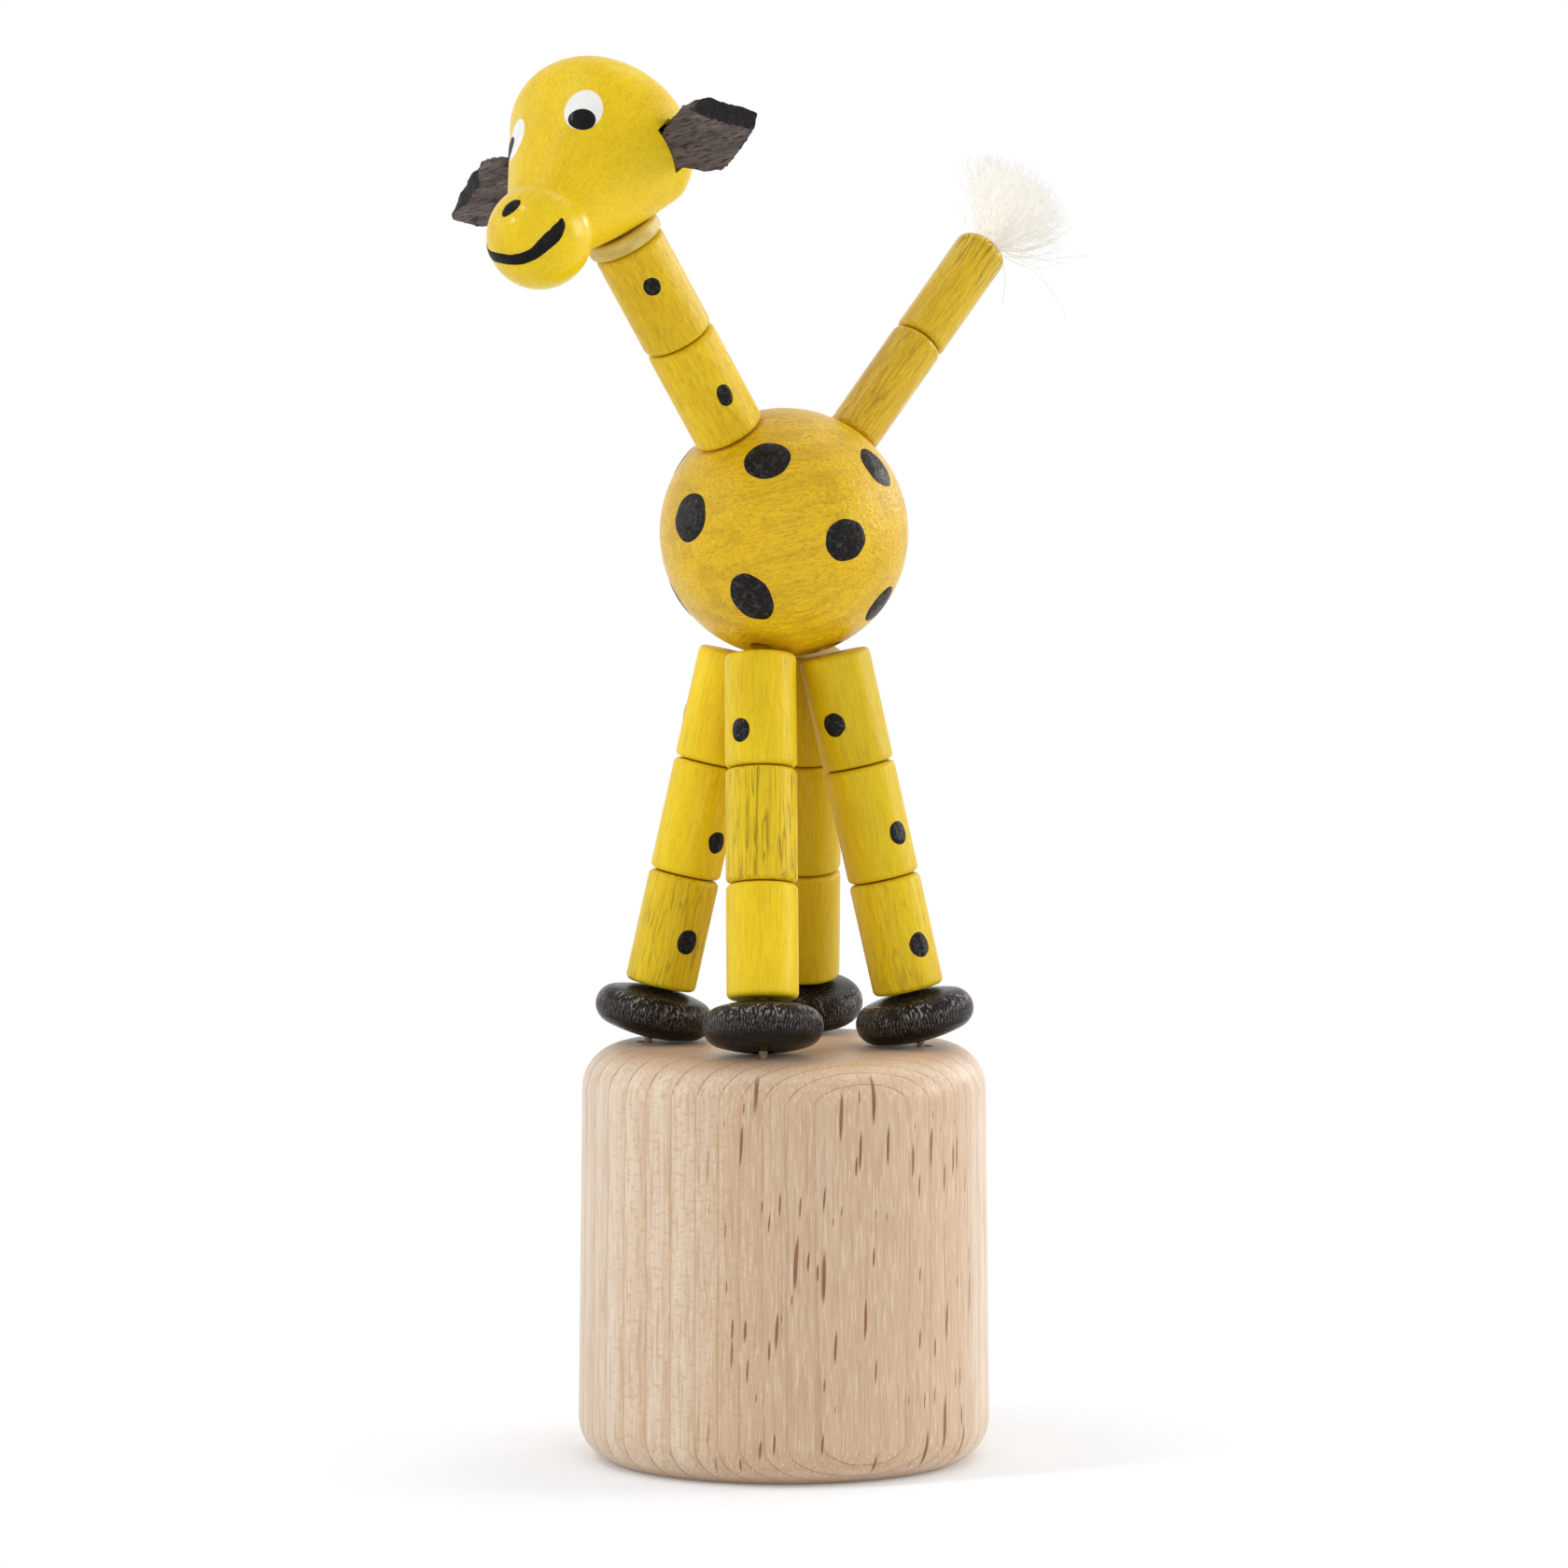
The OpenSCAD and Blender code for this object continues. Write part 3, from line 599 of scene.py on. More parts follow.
def twisted_cord(sheet, points, start=0.0, spacing=0.22):
    """Two plies laid round each other. start is the length already run, so that pieces join in step."""
    path = across(resampled(points, spacing))
    ang = corners(CORD_SIDES)
    ply = 0.5 * CORD_D * (0.70 + 0.30 * np.abs(np.cos(ang)))
    twist = ROUND * (start + steps_along(path[0])) / CORD_LAY
    sweep(sheet, path, ang + twist[:, None], ply)


_trees = {}


def surface(node):
    if node not in _trees:
        o = NODES[node]
        points = [o.matrix_world @ v.co for v in o.data.vertices]
        _trees[node] = BVHTree.FromPolygons(points, [tuple(f.vertices) for f in o.data.polygons])
    return _trees[node]


# Paint is cast onto a solid from a little above it
CAST_FROM, CAST_REACH = 3.0, 9.0


def touch(tree, start, way):
    """Where a ray meets a solid, and the solid's outward normal there."""
    origin = [c * MM for c in start]
    hit, normal, _, _ = tree.ray_cast(origin, list(way), CAST_REACH * MM)
    if hit is None:
        hit, normal, _, _ = tree.find_nearest(origin)
    n = np.array(normal)
    return np.array(hit) / MM, n if n @ np.asarray(way) < 0 else -n


# A drop of paint: its rings as shares of the half width, and how deep its rim sinks
RIM = (0.0, 0.3, 0.55, 0.75, 0.87, 0.94, 0.98, 1.0)
SECTORS = 48
SINK = 0.02
# Waves of its uneven outline, each with a random phase
WAVES, PHASES = (2, 3, 4, 5, 7), 6.28


def dome(share, height):
    """Height of paint at a share of the way to its rim."""
    return height * (1 - share**4) ** 0.5 if share < 1 else -SINK


def dab(sheet, node, centre, normal, right, size, spin, height, ragged, seed, look=0):
    """A drop of paint on a solid: an uneven ellipse that swells to its middle and closes onto the wood."""
    tree = surface(node)
    half_w, half_h = size
    n = unit(normal)
    r = np.asarray(right, float)
    r = unit(r - n * (r @ n))
    u = np.cross(n, r)
    draw = np.random.default_rng(seed)
    wave = [(k, draw.normal(0, ragged / k), draw.uniform(0, PHASES)) for k in WAVES]
    c, s = polar(spin)
    points = []
    for t in RIM:
        for k in range(SECTORS if t else 1):
            a = ROUND * k / SECTORS
            swell = 1 + sum(g * math.sin(m * a + f) for m, g, f in wave)
            x, y = t * swell * half_w * math.cos(a), t * swell * half_h * math.sin(a)
            start = centre + r * (x * c - y * s) + u * (x * s + y * c) + n * CAST_FROM
            hit, out = touch(tree, start, -n)
            points.append(hit + out * dome(t, height))
    faces = [(0, 1 + k, 1 + (k + 1) % SECTORS) for k in range(SECTORS)]
    for i in range(len(RIM) - 2):
        low, high = 1 + i * SECTORS, 1 + (i + 1) * SECTORS
        for k in range(SECTORS):
            m = (k + 1) % SECTORS
            faces.append((low + k, high + k, high + m, low + m))
    sheet.add(points, faces, look)


def dress(node, material):
    slots = NODES[node].data.materials
    slots.clear()
    slots.append(material)


def ride(obj, body):
    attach(obj, body)


# Wood of the solids

beech = beech_wood("bare_beech")
dress("base_drum", beech)
dress("push_button", beech)
dress("neck_collar", tan_lacquer("tan_lacquer"))

# Lower, middle and upper bead: how dark the grain lines are, and how bright the stain, which is partly the bead's
# own tone and partly painted light and shade, darker on the rear legs
STREAKS_AND_PAINTED_LIGHT = {
    "front_left": ((0.06, 1.0), (0.62, 0.96), (0.12, 0.98)),
    "front_right": ((0.45, 0.96), (0.12, 1.0), (0.1, 1.06)),
    "rear_left": ((0.3, 0.96), (0.08, 0.935), (0.16, 0.9)),
    "rear_right": ((0.2, 0.9), (0.15, 0.89), (0.2, 0.88)),
}
LEG_LIGHT, LEG_DEEP = (246, 212, 20), (234, 196, 15)
LEG_SPECKLE, LEG_STRETCH = 0.15, 12.0
# The one bead with close wavy grain
DENSE_BEAD = "front_left_middle_bead"


def dress_yellow(node, *facts, **more):
    dress(node, yellow_wood(node.rsplit("_", 1)[0] + "_stain", *facts, **more))


def stain(rgb, share):
    return tuple(min(255, c * share) for c in rgb)


seed = 1
for leg in LEGS:
    dress(f"{leg}_foot", black_stain(f"{leg}_black_stain", PLACES[leg]))
    for part, (streak, share) in zip(("lower", "middle", "upper"), STREAKS_AND_PAINTED_LIGHT[leg]):
        seed += 1
        bead = f"{leg}_{part}_bead"
        # The share makes the stain lighter or darker, partly as painted light and shade
        tones = stain(LEG_LIGHT, share), stain(LEG_DEEP, share)
        dress_yellow(bead, PLACES[leg], seed, streak, LEG_SPECKLE, LEG_STRETCH, *tones, dense=bead == DENSE_BEAD)

BALL_GRAIN = Place(BALL, axes_along(VIEW_RIGHT + 0.22 * UP))
HEAD_GRAIN = Place(SKULL.origin, axes_along(SKULL.way((0, -1, 0))))
TAIL_GLOSS = dict(rough=(0.2, 0.3), coat=0.55, satin=(0.16, 0.28))
TAIL_CRACKED = dict(TAIL_GLOSS, cracks=(TAIL_END - 5.5, TAIL_END - 2.5))
BALL_SKIN = dict(peel=5.0, rough=(0.3, 0.45), coat=0.34, satin=(0.08, 0.16), bands=0.3, pebbled=True)
HEAD_SKIN = dict(peel=1.0, rough=(0.3, 0.42), coat=0.4, satin=(0.38, 0.52), muzzle=True)
OTHER_WOOD = [
    # node, place, seed, streak, speckle, stretch, light, deep, more
    ("neck_lower_bead", NECK, 21, 0.12, 0.3, 8.0, (240, 204, 22), (222, 180, 14), {"peel": 1.0}),
    ("neck_upper_bead", NECK, 22, 0.16, 0.3, 7.0, (231, 194, 20), (213, 171, 12), {"peel": 1.4}),
    ("tail_lower_bead", TAIL, 23, 0.4, 0.35, 14.0, (226, 189, 22), (196, 154, 10), TAIL_GLOSS),
    ("tail_upper_bead", TAIL, 24, 0.8, 0.35, 14.0, (228, 192, 22), (200, 160, 10), TAIL_CRACKED),
    ("body_ball", BALL_GRAIN, 31, 0.12, 0.5, 6.0, (242, 199, 20), (223, 176, 12), BALL_SKIN),
    ("head", HEAD_GRAIN, 33, 0.04, 0.16, 5.0, (246, 211, 15), (235, 196, 10), HEAD_SKIN),
]
for node, *facts, more in OTHER_WOOD:
    dress_yellow(node, *facts, **more)

# Painted spots and face

# The last tone is for lighter mottles, partly painted glints
BLACK = paint("black_paint", (10, 9, 9), (20, 17, 17), 0.06, 0.9, 0.24, (76, 69, 66))
WHITE = paint("white_paint", (250, 249, 246), (243, 241, 236), 0.3, 0.12, 0.4)
PUPIL = paint("pupil_paint", (14, 11, 11), (26, 21, 20), 0.07, 0.3, 0.16)

BALL_SPOTS = [
    # direction from the ball's middle, half width and half height, turn
    ((0.5592, -0.5726, 0.5996), (2.02, 1.92), 10),
    ((0.0754, -0.9875, 0.1386), (2.02, 2.14), -12),
    ((0.9932, -0.1116, -0.0347), (2.00, 1.82), 20),
    ((0.5181, -0.6956, -0.4977), (1.78, 2.46), 20),
    ((0.7646, 0.3584, 0.5357), (1.75, 1.95), 25),
    ((0.6795, 0.4581, -0.5730), (1.80, 1.85), 0),
    ((-0.6, -0.56, 0.57), (1.95, 1.85), 30),
    ((-0.97, -0.22, 0.06), (1.85, 2.05), 0),
    ((-0.71, 0.43, 0.56), (1.90, 1.75), -20),
    ((-0.57, -0.63, -0.53), (1.80, 2.10), 15),
    ((-0.7, 0.53, -0.48), (1.90, 1.80), 0),
    ((0.07, 0.98, -0.18), (1.85, 2.00), 40),
]
spots = Sheet()
for k, (d, size, spin) in enumerate(BALL_SPOTS):
    d = unit(d)
    dab(spots, "body_ball", BALL + BALL_R * d, d, np.cross(UP, d), size, spin, 0.09, 0.04, 100 + k)
ride(spots.piece("body_spots", [BLACK]), "body_ball")

BEAD_SPOTS = {
    # angle round the bead, distance along the axis, half width and half height
    "front_left_upper": [(-36.8, 25.34, (0.92, 1.05))],
    "rear_left_upper": [(-117.2, 26.42, (1.0, 1.05))],
    "front_right_middle": [(131.8, 15.79, (0.95, 0.95))],
    "rear_left_middle": [(-49.4, 16.07, (0.92, 1.05))],
    "front_right_lower": [(117.3, 6.79, (0.96, 1.1))],
    "rear_left_lower": [(-56.9, 6.21, (1.0, 1.08))],
    "front_left_middle": [(120, 16.6, (0.92, 1.05))],
    "front_left_lower": [(-125, 6.6, (0.95, 1.05))],
    "front_right_upper": [(-20, 26.2, (0.95, 1.05))],
    "rear_right_upper": [(35, 25.8, (0.95, 1.05))],
    "rear_right_middle": [(-30, 16.4, (0.95, 1.05))],
    "rear_right_lower": [(20, 6.8, (0.95, 1.05))],
    "neck_upper": [(-28.7, 26.41, (0.74, 0.84)), (165, 24.6, (0.76, 0.88))],
    "neck_lower": [(-8.7, 14.66, (0.74, 0.98)), (-150, 15.6, (0.76, 0.92))],
}
for bead, rows in BEAD_SPOTS.items():
    node = f"{bead}_bead"
    place = PLACES[bead.rsplit("_", 1)[0]]
    spots = Sheet()
    for k, (angle, up, size) in enumerate(rows):
        c, s = polar(angle)
        out, right = place.way((c, s, 0)), place.way((-s, c, 0))
        seed = 200 + len(node) * 7 + k + int(up)
        dab(spots, node, place.out((0, 0, up)) + BEAD_R * out, out, right, size, 0, 0.07, 0.06, seed)
    ride(spots.piece(f"{bead}_spot", [BLACK]), node)


def on_head(p):
    """The head's surface and its normal at a place given from the skull's middle."""
    out = unit(SKULL.way((p[0], 0, p[2])))
    return touch(surface("head"), SKULL.out(p) + CAST_FROM * out, -out)


FACE_LOOKS = [BLACK, WHITE, PUPIL]
IN_WHITE, IN_PUPIL = 1, 2
EYES = [
    # middle of the white, middle of the pupil, half sizes of both, turn, direction across
    ((3.73, -2.97, 5.63), (3.74, -3.80, 5.21), (1.66, 1.98), (1.20, 1.02), -6, (0.80, 0.22, -0.42)),
    ((-3.30, -4.25, 5.35), (-4.32, -4.15, 4.55), (1.60, 1.95), (1.15, 1.00), 6, (0.80, -0.22, 0.42)),
]
NOSE_WAY = (0.086, -0.348, 0.934)
face = Sheet()
for k, (white, pupil, white_size, pupil_size, spin, aside) in enumerate(EYES):
    right = SKULL.way(aside)
    dab(face, "head", *on_head(white), right, white_size, spin, 0.03, 0.015, 300 + k, IN_WHITE)
    dab(face, "head", *on_head(pupil), right, pupil_size, spin, 0.11, 0.02, 310 + k, IN_PUPIL)
nose = unit(SKULL.way(NOSE_WAY))
right = SKULL.way((1, 0.1, 0))
dab(face, "head", MUZZLE.origin + MUZZLE_R * nose, nose, right, (1.02, 0.62), 35, 0.07, 0.04, 320, IN_PUPIL)
ride(face.piece("face_paint", FACE_LOOKS), "head")

# The mouth, a brushed line: directions from the muzzle's middle and half widths
MOUTH = [
    ((-0.905, -0.23, 0.36), 0.06),
    ((-0.83, -0.498, 0.30), 0.36),
    ((-0.65, -0.715, 0.257), 0.48),
    ((-0.323, -0.913, 0.25), 0.5),
    ((0.075, -0.984, 0.16), 0.5),
    ((0.389, -0.91, 0.14), 0.54),
    ((0.656, -0.724, 0.212), 0.62),
    ((0.826, -0.511, 0.236), 0.64),
    ((0.899, -0.317, 0.302), 0.46),
    ((0.914, -0.226, 0.39), 0.04),
]
MOUTH_STEPS, MOUTH_HEIGHT, MOUTH_LEAST = 90, 0.06, 0.03
# Points across the line, as shares of its half width
MOUTH_CROSS = (-1, -0.92, -0.7, -0.35, 0, 0.35, 0.7, 0.92, 1)


def mouth_line():
    draw = np.random.default_rng(41)
    keys = np.linspace(0, 1, len(MOUTH))
    want = np.linspace(0, 1, MOUTH_STEPS)
    way = np.array([unit(d) for d, _ in MOUTH])
    wide = np.array([w for _, w in MOUTH])
    smooth = np.exp(-0.5 * (np.arange(-6, 7) / 3.0) ** 2)
    smooth /= smooth.sum()

    def curve(values):
        line = np.interp(want, keys, values)
        return np.convolve(np.pad(line, 6, mode="edge"), smooth, mode="valid")

    def rough_edge():
        return np.convolve(draw.normal(0, 0.05, MOUTH_STEPS + 4), np.ones(5) / 5, mode="valid")

    d = np.column_stack([curve(way[:, k]) for k in range(3)])
    d /= np.linalg.norm(d, axis=1)[:, None]
    w = curve(wide)
    upper, lower = rough_edge(), rough_edge()
    ahead = np.gradient(d, axis=0)
    points = []
    for k in range(MOUTH_STEPS):
        up = unit(np.cross(d[k], ahead[k]))
        for s in MOUTH_CROSS:
            reach = max(w[k] + (upper[k] if s > 0 else lower[k]), MOUTH_LEAST)
            p = unit(d[k] + up * (s * reach / MUZZLE_R))
            points.append(MUZZLE.out(p * (MUZZLE_R + dome(abs(s), MOUTH_HEIGHT))))
    n = len(MOUTH_CROSS)
    faces = []
    for i in range(MOUTH_STEPS - 1):
        low, high = i * n, (i + 1) * n
        faces += [(low + k, low + k + 1, high + k + 1, high + k) for k in range(n - 1)]
    sheet = Sheet()
    sheet.add(points, faces)
    return sheet.piece("mouth_paint", [PUPIL])


ride(mouth_line(), "head")

# Ears: sawn chips whose upper edge is cut on the slant. Points are (outward, up) from the skull's middle.
LEFT_EAR = [
    (7.75, 0.3), (8.3, 0.75), (9.28, 1.14), (10.31, 1.66), (11.64, 1.93), (13.06, 1.81), (13.6, 1.28), (15.55, 0.11),
    (16.5, -0.95), (15.47, -2.04), (14.05, -3.03), (12.37, -4.07), (11.37, -4.37), (9.48, -4.25), (8.5, -3.75),
    (7.75, -3.31), (5.6, -3.2), (5.6, 0.2),
]
RIGHT_EAR = [
    (7.75, 0.35), (8.3, 0.95), (9.05, 1.36), (9.96, 1.73), (10.62, 1.83), (12.1, 1.6), (13.42, 0.89), (15.52, -0.44),
    (17.0, -1.67), (17.2, -2.31), (15.57, -3.63), (14.64, -3.87), (12.2, -4.2), (9.9, -4.1), (8.5, -3.7),
    (7.75, -3.28), (5.6, -3.2), (5.6, 0.2),
]
EAR_MIDDLE = np.array((11.2, -1.1))
# Layers from the front to the back, and how much each is drawn in
EAR_DEPTH = (-0.68, -0.62, -0.35, 0.0, 0.35, 0.62, 0.68)
EAR_SHRINK = (0.10, 0.02, 0.0, 0.0, 0.0, 0.02, 0.10)
# Rings of the broad sides, as shares of the outline, and how far they swell
EAR_RINGS, EAR_SWELL = (0.82, 0.6, 0.36, 0.14), 0.03
# Rows of random nicks, of which each layer takes one
NICK_ROWS = 9


def ramp(values, start, length):
    return np.clip((values - start) / length, 0, 1)


def ear(name, outline, side, seed):
    """Layers of the outline from the front to the back, with broken edges."""
    draw = np.random.default_rng(seed)
    ring = resampled([(x, z, 0) for x, z in outline + outline[:1]], 0.28)[:-1, :2]
    n = len(ring)
    far, high = ring.T
    free = ramp(far, 8.2, 1.2)
    upper = ramp(high + 0.33 * (far - 11.5), 0, 1.2) * ramp(far, 11.4, 1.6)
    chips = np.pad(draw.normal(0, 0.16, n), 2, mode="wrap")
    chips = np.convolve(chips, (0.15, 0.25, 0.2, 0.25, 0.15), mode="valid")
    nick = draw.normal(0, 0.035, (NICK_ROWS, n))
    toward = EAR_MIDDLE - ring
    toward /= np.linalg.norm(toward, axis=1)[:, None]
    points = []
    for y, shrink, nicks in zip(EAR_DEPTH, EAR_SHRINK, nick):
        layer = ring + toward * (free * (shrink + chips + nicks))[:, None]
        # The slanted upper edge drops towards the front
        share = (EAR_DEPTH[-1] - y) / (EAR_DEPTH[-1] - EAR_DEPTH[0])
        layer = layer + np.column_stack((-0.25 * upper, -1.15 * upper)) * share
        points += [(side * x, y, z) for x, z in layer]
    faces = ring_faces(len(EAR_DEPTH), n, closed_ends=False)
    # Broad sides: rings that shrink to the middle
    for out, first in ((-1, 0), (1, (len(EAR_DEPTH) - 1) * n)):
        base = np.array(points[first : first + n])
        centre = base[:, [0, 2]].mean(0)
        y = base[0, 1]
        inner = first
        cap = []
        for t in EAR_RINGS:
            start = len(points)
            for p in base:
                q = centre + (p[[0, 2]] - centre) * t
                points.append((q[0], y + out * EAR_SWELL * (1 - t) + draw.normal(0, 0.012), q[1]))
            cap += band_faces(inner, start, n)
            inner = start
        top = len(points)
        points.append((centre[0], y + out * EAR_SWELL, centre[1]))
        cap += [(inner + k, inner + (k + 1) % n, top) for k in range(n)]
        faces += cap if out > 0 else [f[::-1] for f in cap]
    if side < 0:
        faces = [f[::-1] for f in faces]
    sheet = Sheet()
    sheet.add([SKULL.out(p) for p in points], faces)
    return sheet.piece(name, [ear_wood(name + "_wood", SKULL)], smooth=False)


for name, outline, side, seed in (("left_ear", LEFT_EAR, 1, 51), ("right_ear", RIGHT_EAR, -1, 52)):
    chip = ear(name + "_chip", outline, side, seed)
    ride(chip, "head")
    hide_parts(name)

# Cords: two-ply cotton, one piece for each joint that it crosses

CORD = cotton("cotton_cord", (236, 226, 205), (205, 190, 160), 3000.0)
# Cord below the feet, painted a darker tan to hide in the shade under them
UNDERFOOT_CORD = cotton("underfoot_cord", (206, 176, 142), (176, 146, 112), 3000.0)


def cord_piece(name, points, node, body=None, joint=None, start=None, end=None, run=0.0, look=CORD):
    """Cord that rides on one body, or, where it crosses a joint, stays where it is laid on no body."""
    sheet = Sheet()
    twisted_cord(sheet, points, run)
    obj = sheet.piece(name, [look])
    if joint:
        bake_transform(obj)
    else:
        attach(obj, body)
    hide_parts(node)


KNOT_SIZE, KNOT_SPACING = 0.24, 0.16
KNOT_TAIL = ((0.1, 0, 0.5), (0.15, 0.1, 0), (0.1, 0.25, -0.5), (0.0, 0.3, -1.0))


def knot(name, centre, node):
    """A stopper knot: the cord wound into a trefoil, with its end hanging out."""
    t = np.linspace(0, ROUND, 97)[:-1]
    p = np.column_stack((np.sin(t) + 2 * np.sin(2 * t), np.cos(t) - 2 * np.cos(2 * t), -1.3 * np.sin(3 * t)))
    p = np.vstack((p, p[:1])) * KNOT_SIZE
    sheet = Sheet()
    twisted_cord(sheet, p + centre, 0, KNOT_SPACING)
    twisted_cord(sheet, eased([centre + np.array(v) for v in KNOT_TAIL], 2), 0, KNOT_SPACING)
    obj = sheet.piece(name, [CORD])
    ride(obj, "push_button")
    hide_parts(node)


# Along a leg's axis: the drum's top, the cord's joint under the foot, the beads' starts and middles
DRUM_UP = (BASE_H - FOOT_Z) / math.cos(math.radians(LEG_LEAN))
UNDER_FOOT = -0.9
BEADS_AT = [LOWER_AT + k * LEG_STEP for k in range(3)]
BEAD_MIDDLES = [at + LEG_BEAD_L / 2 for at in BEADS_AT]
# Half the length of a cord's bend at a bead's end, and how far inside the ball the root begins
BEND, ROOT_IN = 0.6, 2.0
# Place, where its beads begin, their length and their names
NECK_LINE = NECK, NECK_LOWER_AT, NECK_UPPER_AT, NECK_BEAD_L, ("neck_lower_bead", "neck_upper_bead")
TAIL_LINE = TAIL, TAIL_LOWER_AT, TAIL_UPPER_AT, TAIL_BEAD_L, ("tail_lower_bead", "tail_upper_bead")


def lay_cord(leg):
    """One cord, from its knot under the button to its end in the head or the tail."""
    node = f"{leg}_cord"
    front = leg.startswith("front")
    place = PLACES[leg]
    line, first, second, bead_l, beads = NECK_LINE if front else TAIL_LINE
    aside = np.array((CORD_PITCH / 2 * (1 if leg.endswith("left") else -1), 0, 0))

    def on(up):
        return place.out((0, 0, up))

    def past(far):
        return line.out((0, 0, far)) + aside

    def piece(where, route, body=None, **more):
        cord_piece(f"{node}_{where}", route, node, body, **more)

    x, y = polar(LEGS[leg], BUTTON_CORD_R)
    hole = np.array((x, y, BUTTON_TOP))
    drum = on(DRUM_UP)
    roof = hole + (drum - hole) * ((WELL_TOP - BUTTON_TOP) / (drum[2] - hole[2]))
    knot(f"{leg}_knot", np.array((x, y, KNOT_MID)), node)
    piece("in_button", [(x, y, KNOT_MID + 0.6), hole], "push_button")
    piece("in_well", [hole, roof], joint=("push_button", "base"), start=hole, end=roof)
    bend = eased([roof, hole + (drum - hole) * 0.9, drum, on(DRUM_UP + 0.8), on(UNDER_FOOT)], 2)
    # Below the foot the cord is painted a darker tan, like the drum's, so that it hides in the shade of the gap
    piece("at_drum", bend, joint=("base", f"{leg}_foot"), start=on(DRUM_UP - 0.2), end=on(-1.6), look=UNDERFOOT_CORD)
    low, middle, high = BEAD_MIDDLES
    stops = [
        # joint, bodies below and above it, where the piece begins and ends, where it bends
        ("ankle", "foot", "lower_bead", UNDER_FOOT, low, FOOT_H / 2 - 0.5, BEADS_AT[0] + 0.5),
        ("low_knee", "lower_bead", "middle_bead", low, middle, BEADS_AT[1] - BEND, BEADS_AT[1] + BEND),
        ("high_knee", "middle_bead", "upper_bead", middle, high, BEADS_AT[2] - BEND, BEADS_AT[2] + BEND),
    ]
    for name, under, over, u0, u1, b0, b1 in stops:
        joint = (f"{leg}_{under}", f"{leg}_{over}")
        piece(f"at_{name}", [on(u0), on(u1)], joint=joint, start=on(b0), end=on(b1), run=u0)
    piece("at_hip", [on(high), on(LEG_L - 0.3)], f"{leg}_upper_bead", run=high)
    # Inside the ball the cord turns into the neck or the tail
    mouth = BALL + unit(on(LEG_L) - BALL) * (BALL_R - 0.4)
    turn_at = BALL + np.array((aside[0], CORD_PITCH / 2 * (-1 if front else 1), 0))
    root, half = first - ROOT_IN, first + bead_l / 2
    piece("in_body", eased([mouth, turn_at, past(2.4), past(root)], 3), "body_ball")

    def bent(where, u0, u1, joint, at, before=BEND, after=BEND):
        piece(where, [past(u0), past(u1)], joint=joint, start=past(at - before), end=past(at + after), run=first)

    bent("at_root", root, half, ("body_ball", beads[0]), first)
    if front:
        other_half, in_collar = second + bead_l / 2, COLLAR_AT + 0.6
        bent("at_neck", half, other_half, beads, second)
        bent("at_collar", other_half, in_collar, (beads[1], "neck_collar"), COLLAR_AT, 0.5, 0.4)
        piece("in_head", [past(in_collar), past(HEAD_AT + HEAD_BORE_L - 1.2)], "head", run=first)
    else:
        bent("at_tail", half, TAIL_END - 2.1, beads, second)


for leg in LEGS:
    lay_cord(leg)

# Tuft: the frayed ends of the rear cords

FLUFF = cotton("frayed_cotton", (250, 249, 245), (238, 236, 231), 1700.0, 0.5)
TUFT_CONE, TUFT_LOCKS, TUFT_STRANDS, TUFT_WISPS = 50.0, 36, 324, 648
STRAND_STEPS, STRAND_SIDES = 12, 3
# Half thickness of strands, wisps and strays, thinnest and thickest
STRAND_R, WISP_R, STRAY_R = (0.035, 0.055), (0.022, 0.036), (0.03, 0.05)
STRAND_SWIRL, WISP_SWIRL = 0.26, 0.3
TUFT_RISE = 0.4 * UP
# Three long strays seen in the photograph: millimetres right and up from the tail's end
STRAYS = (
    ((0.6, -0.2), (2.4, -1.4), (4.0, -2.0), (5.5, -3.4), (6.6, -5.1), (7.2, -6.5)),
    ((0.5, -0.3), (1.6, -1.4), (1.8, -2.9), (1.6, -5.2)),
    ((0.6, 0.0), (2.5, -1.0), (5.5, -1.3), (7.4, -1.0), (9.0, -0.9)),
)


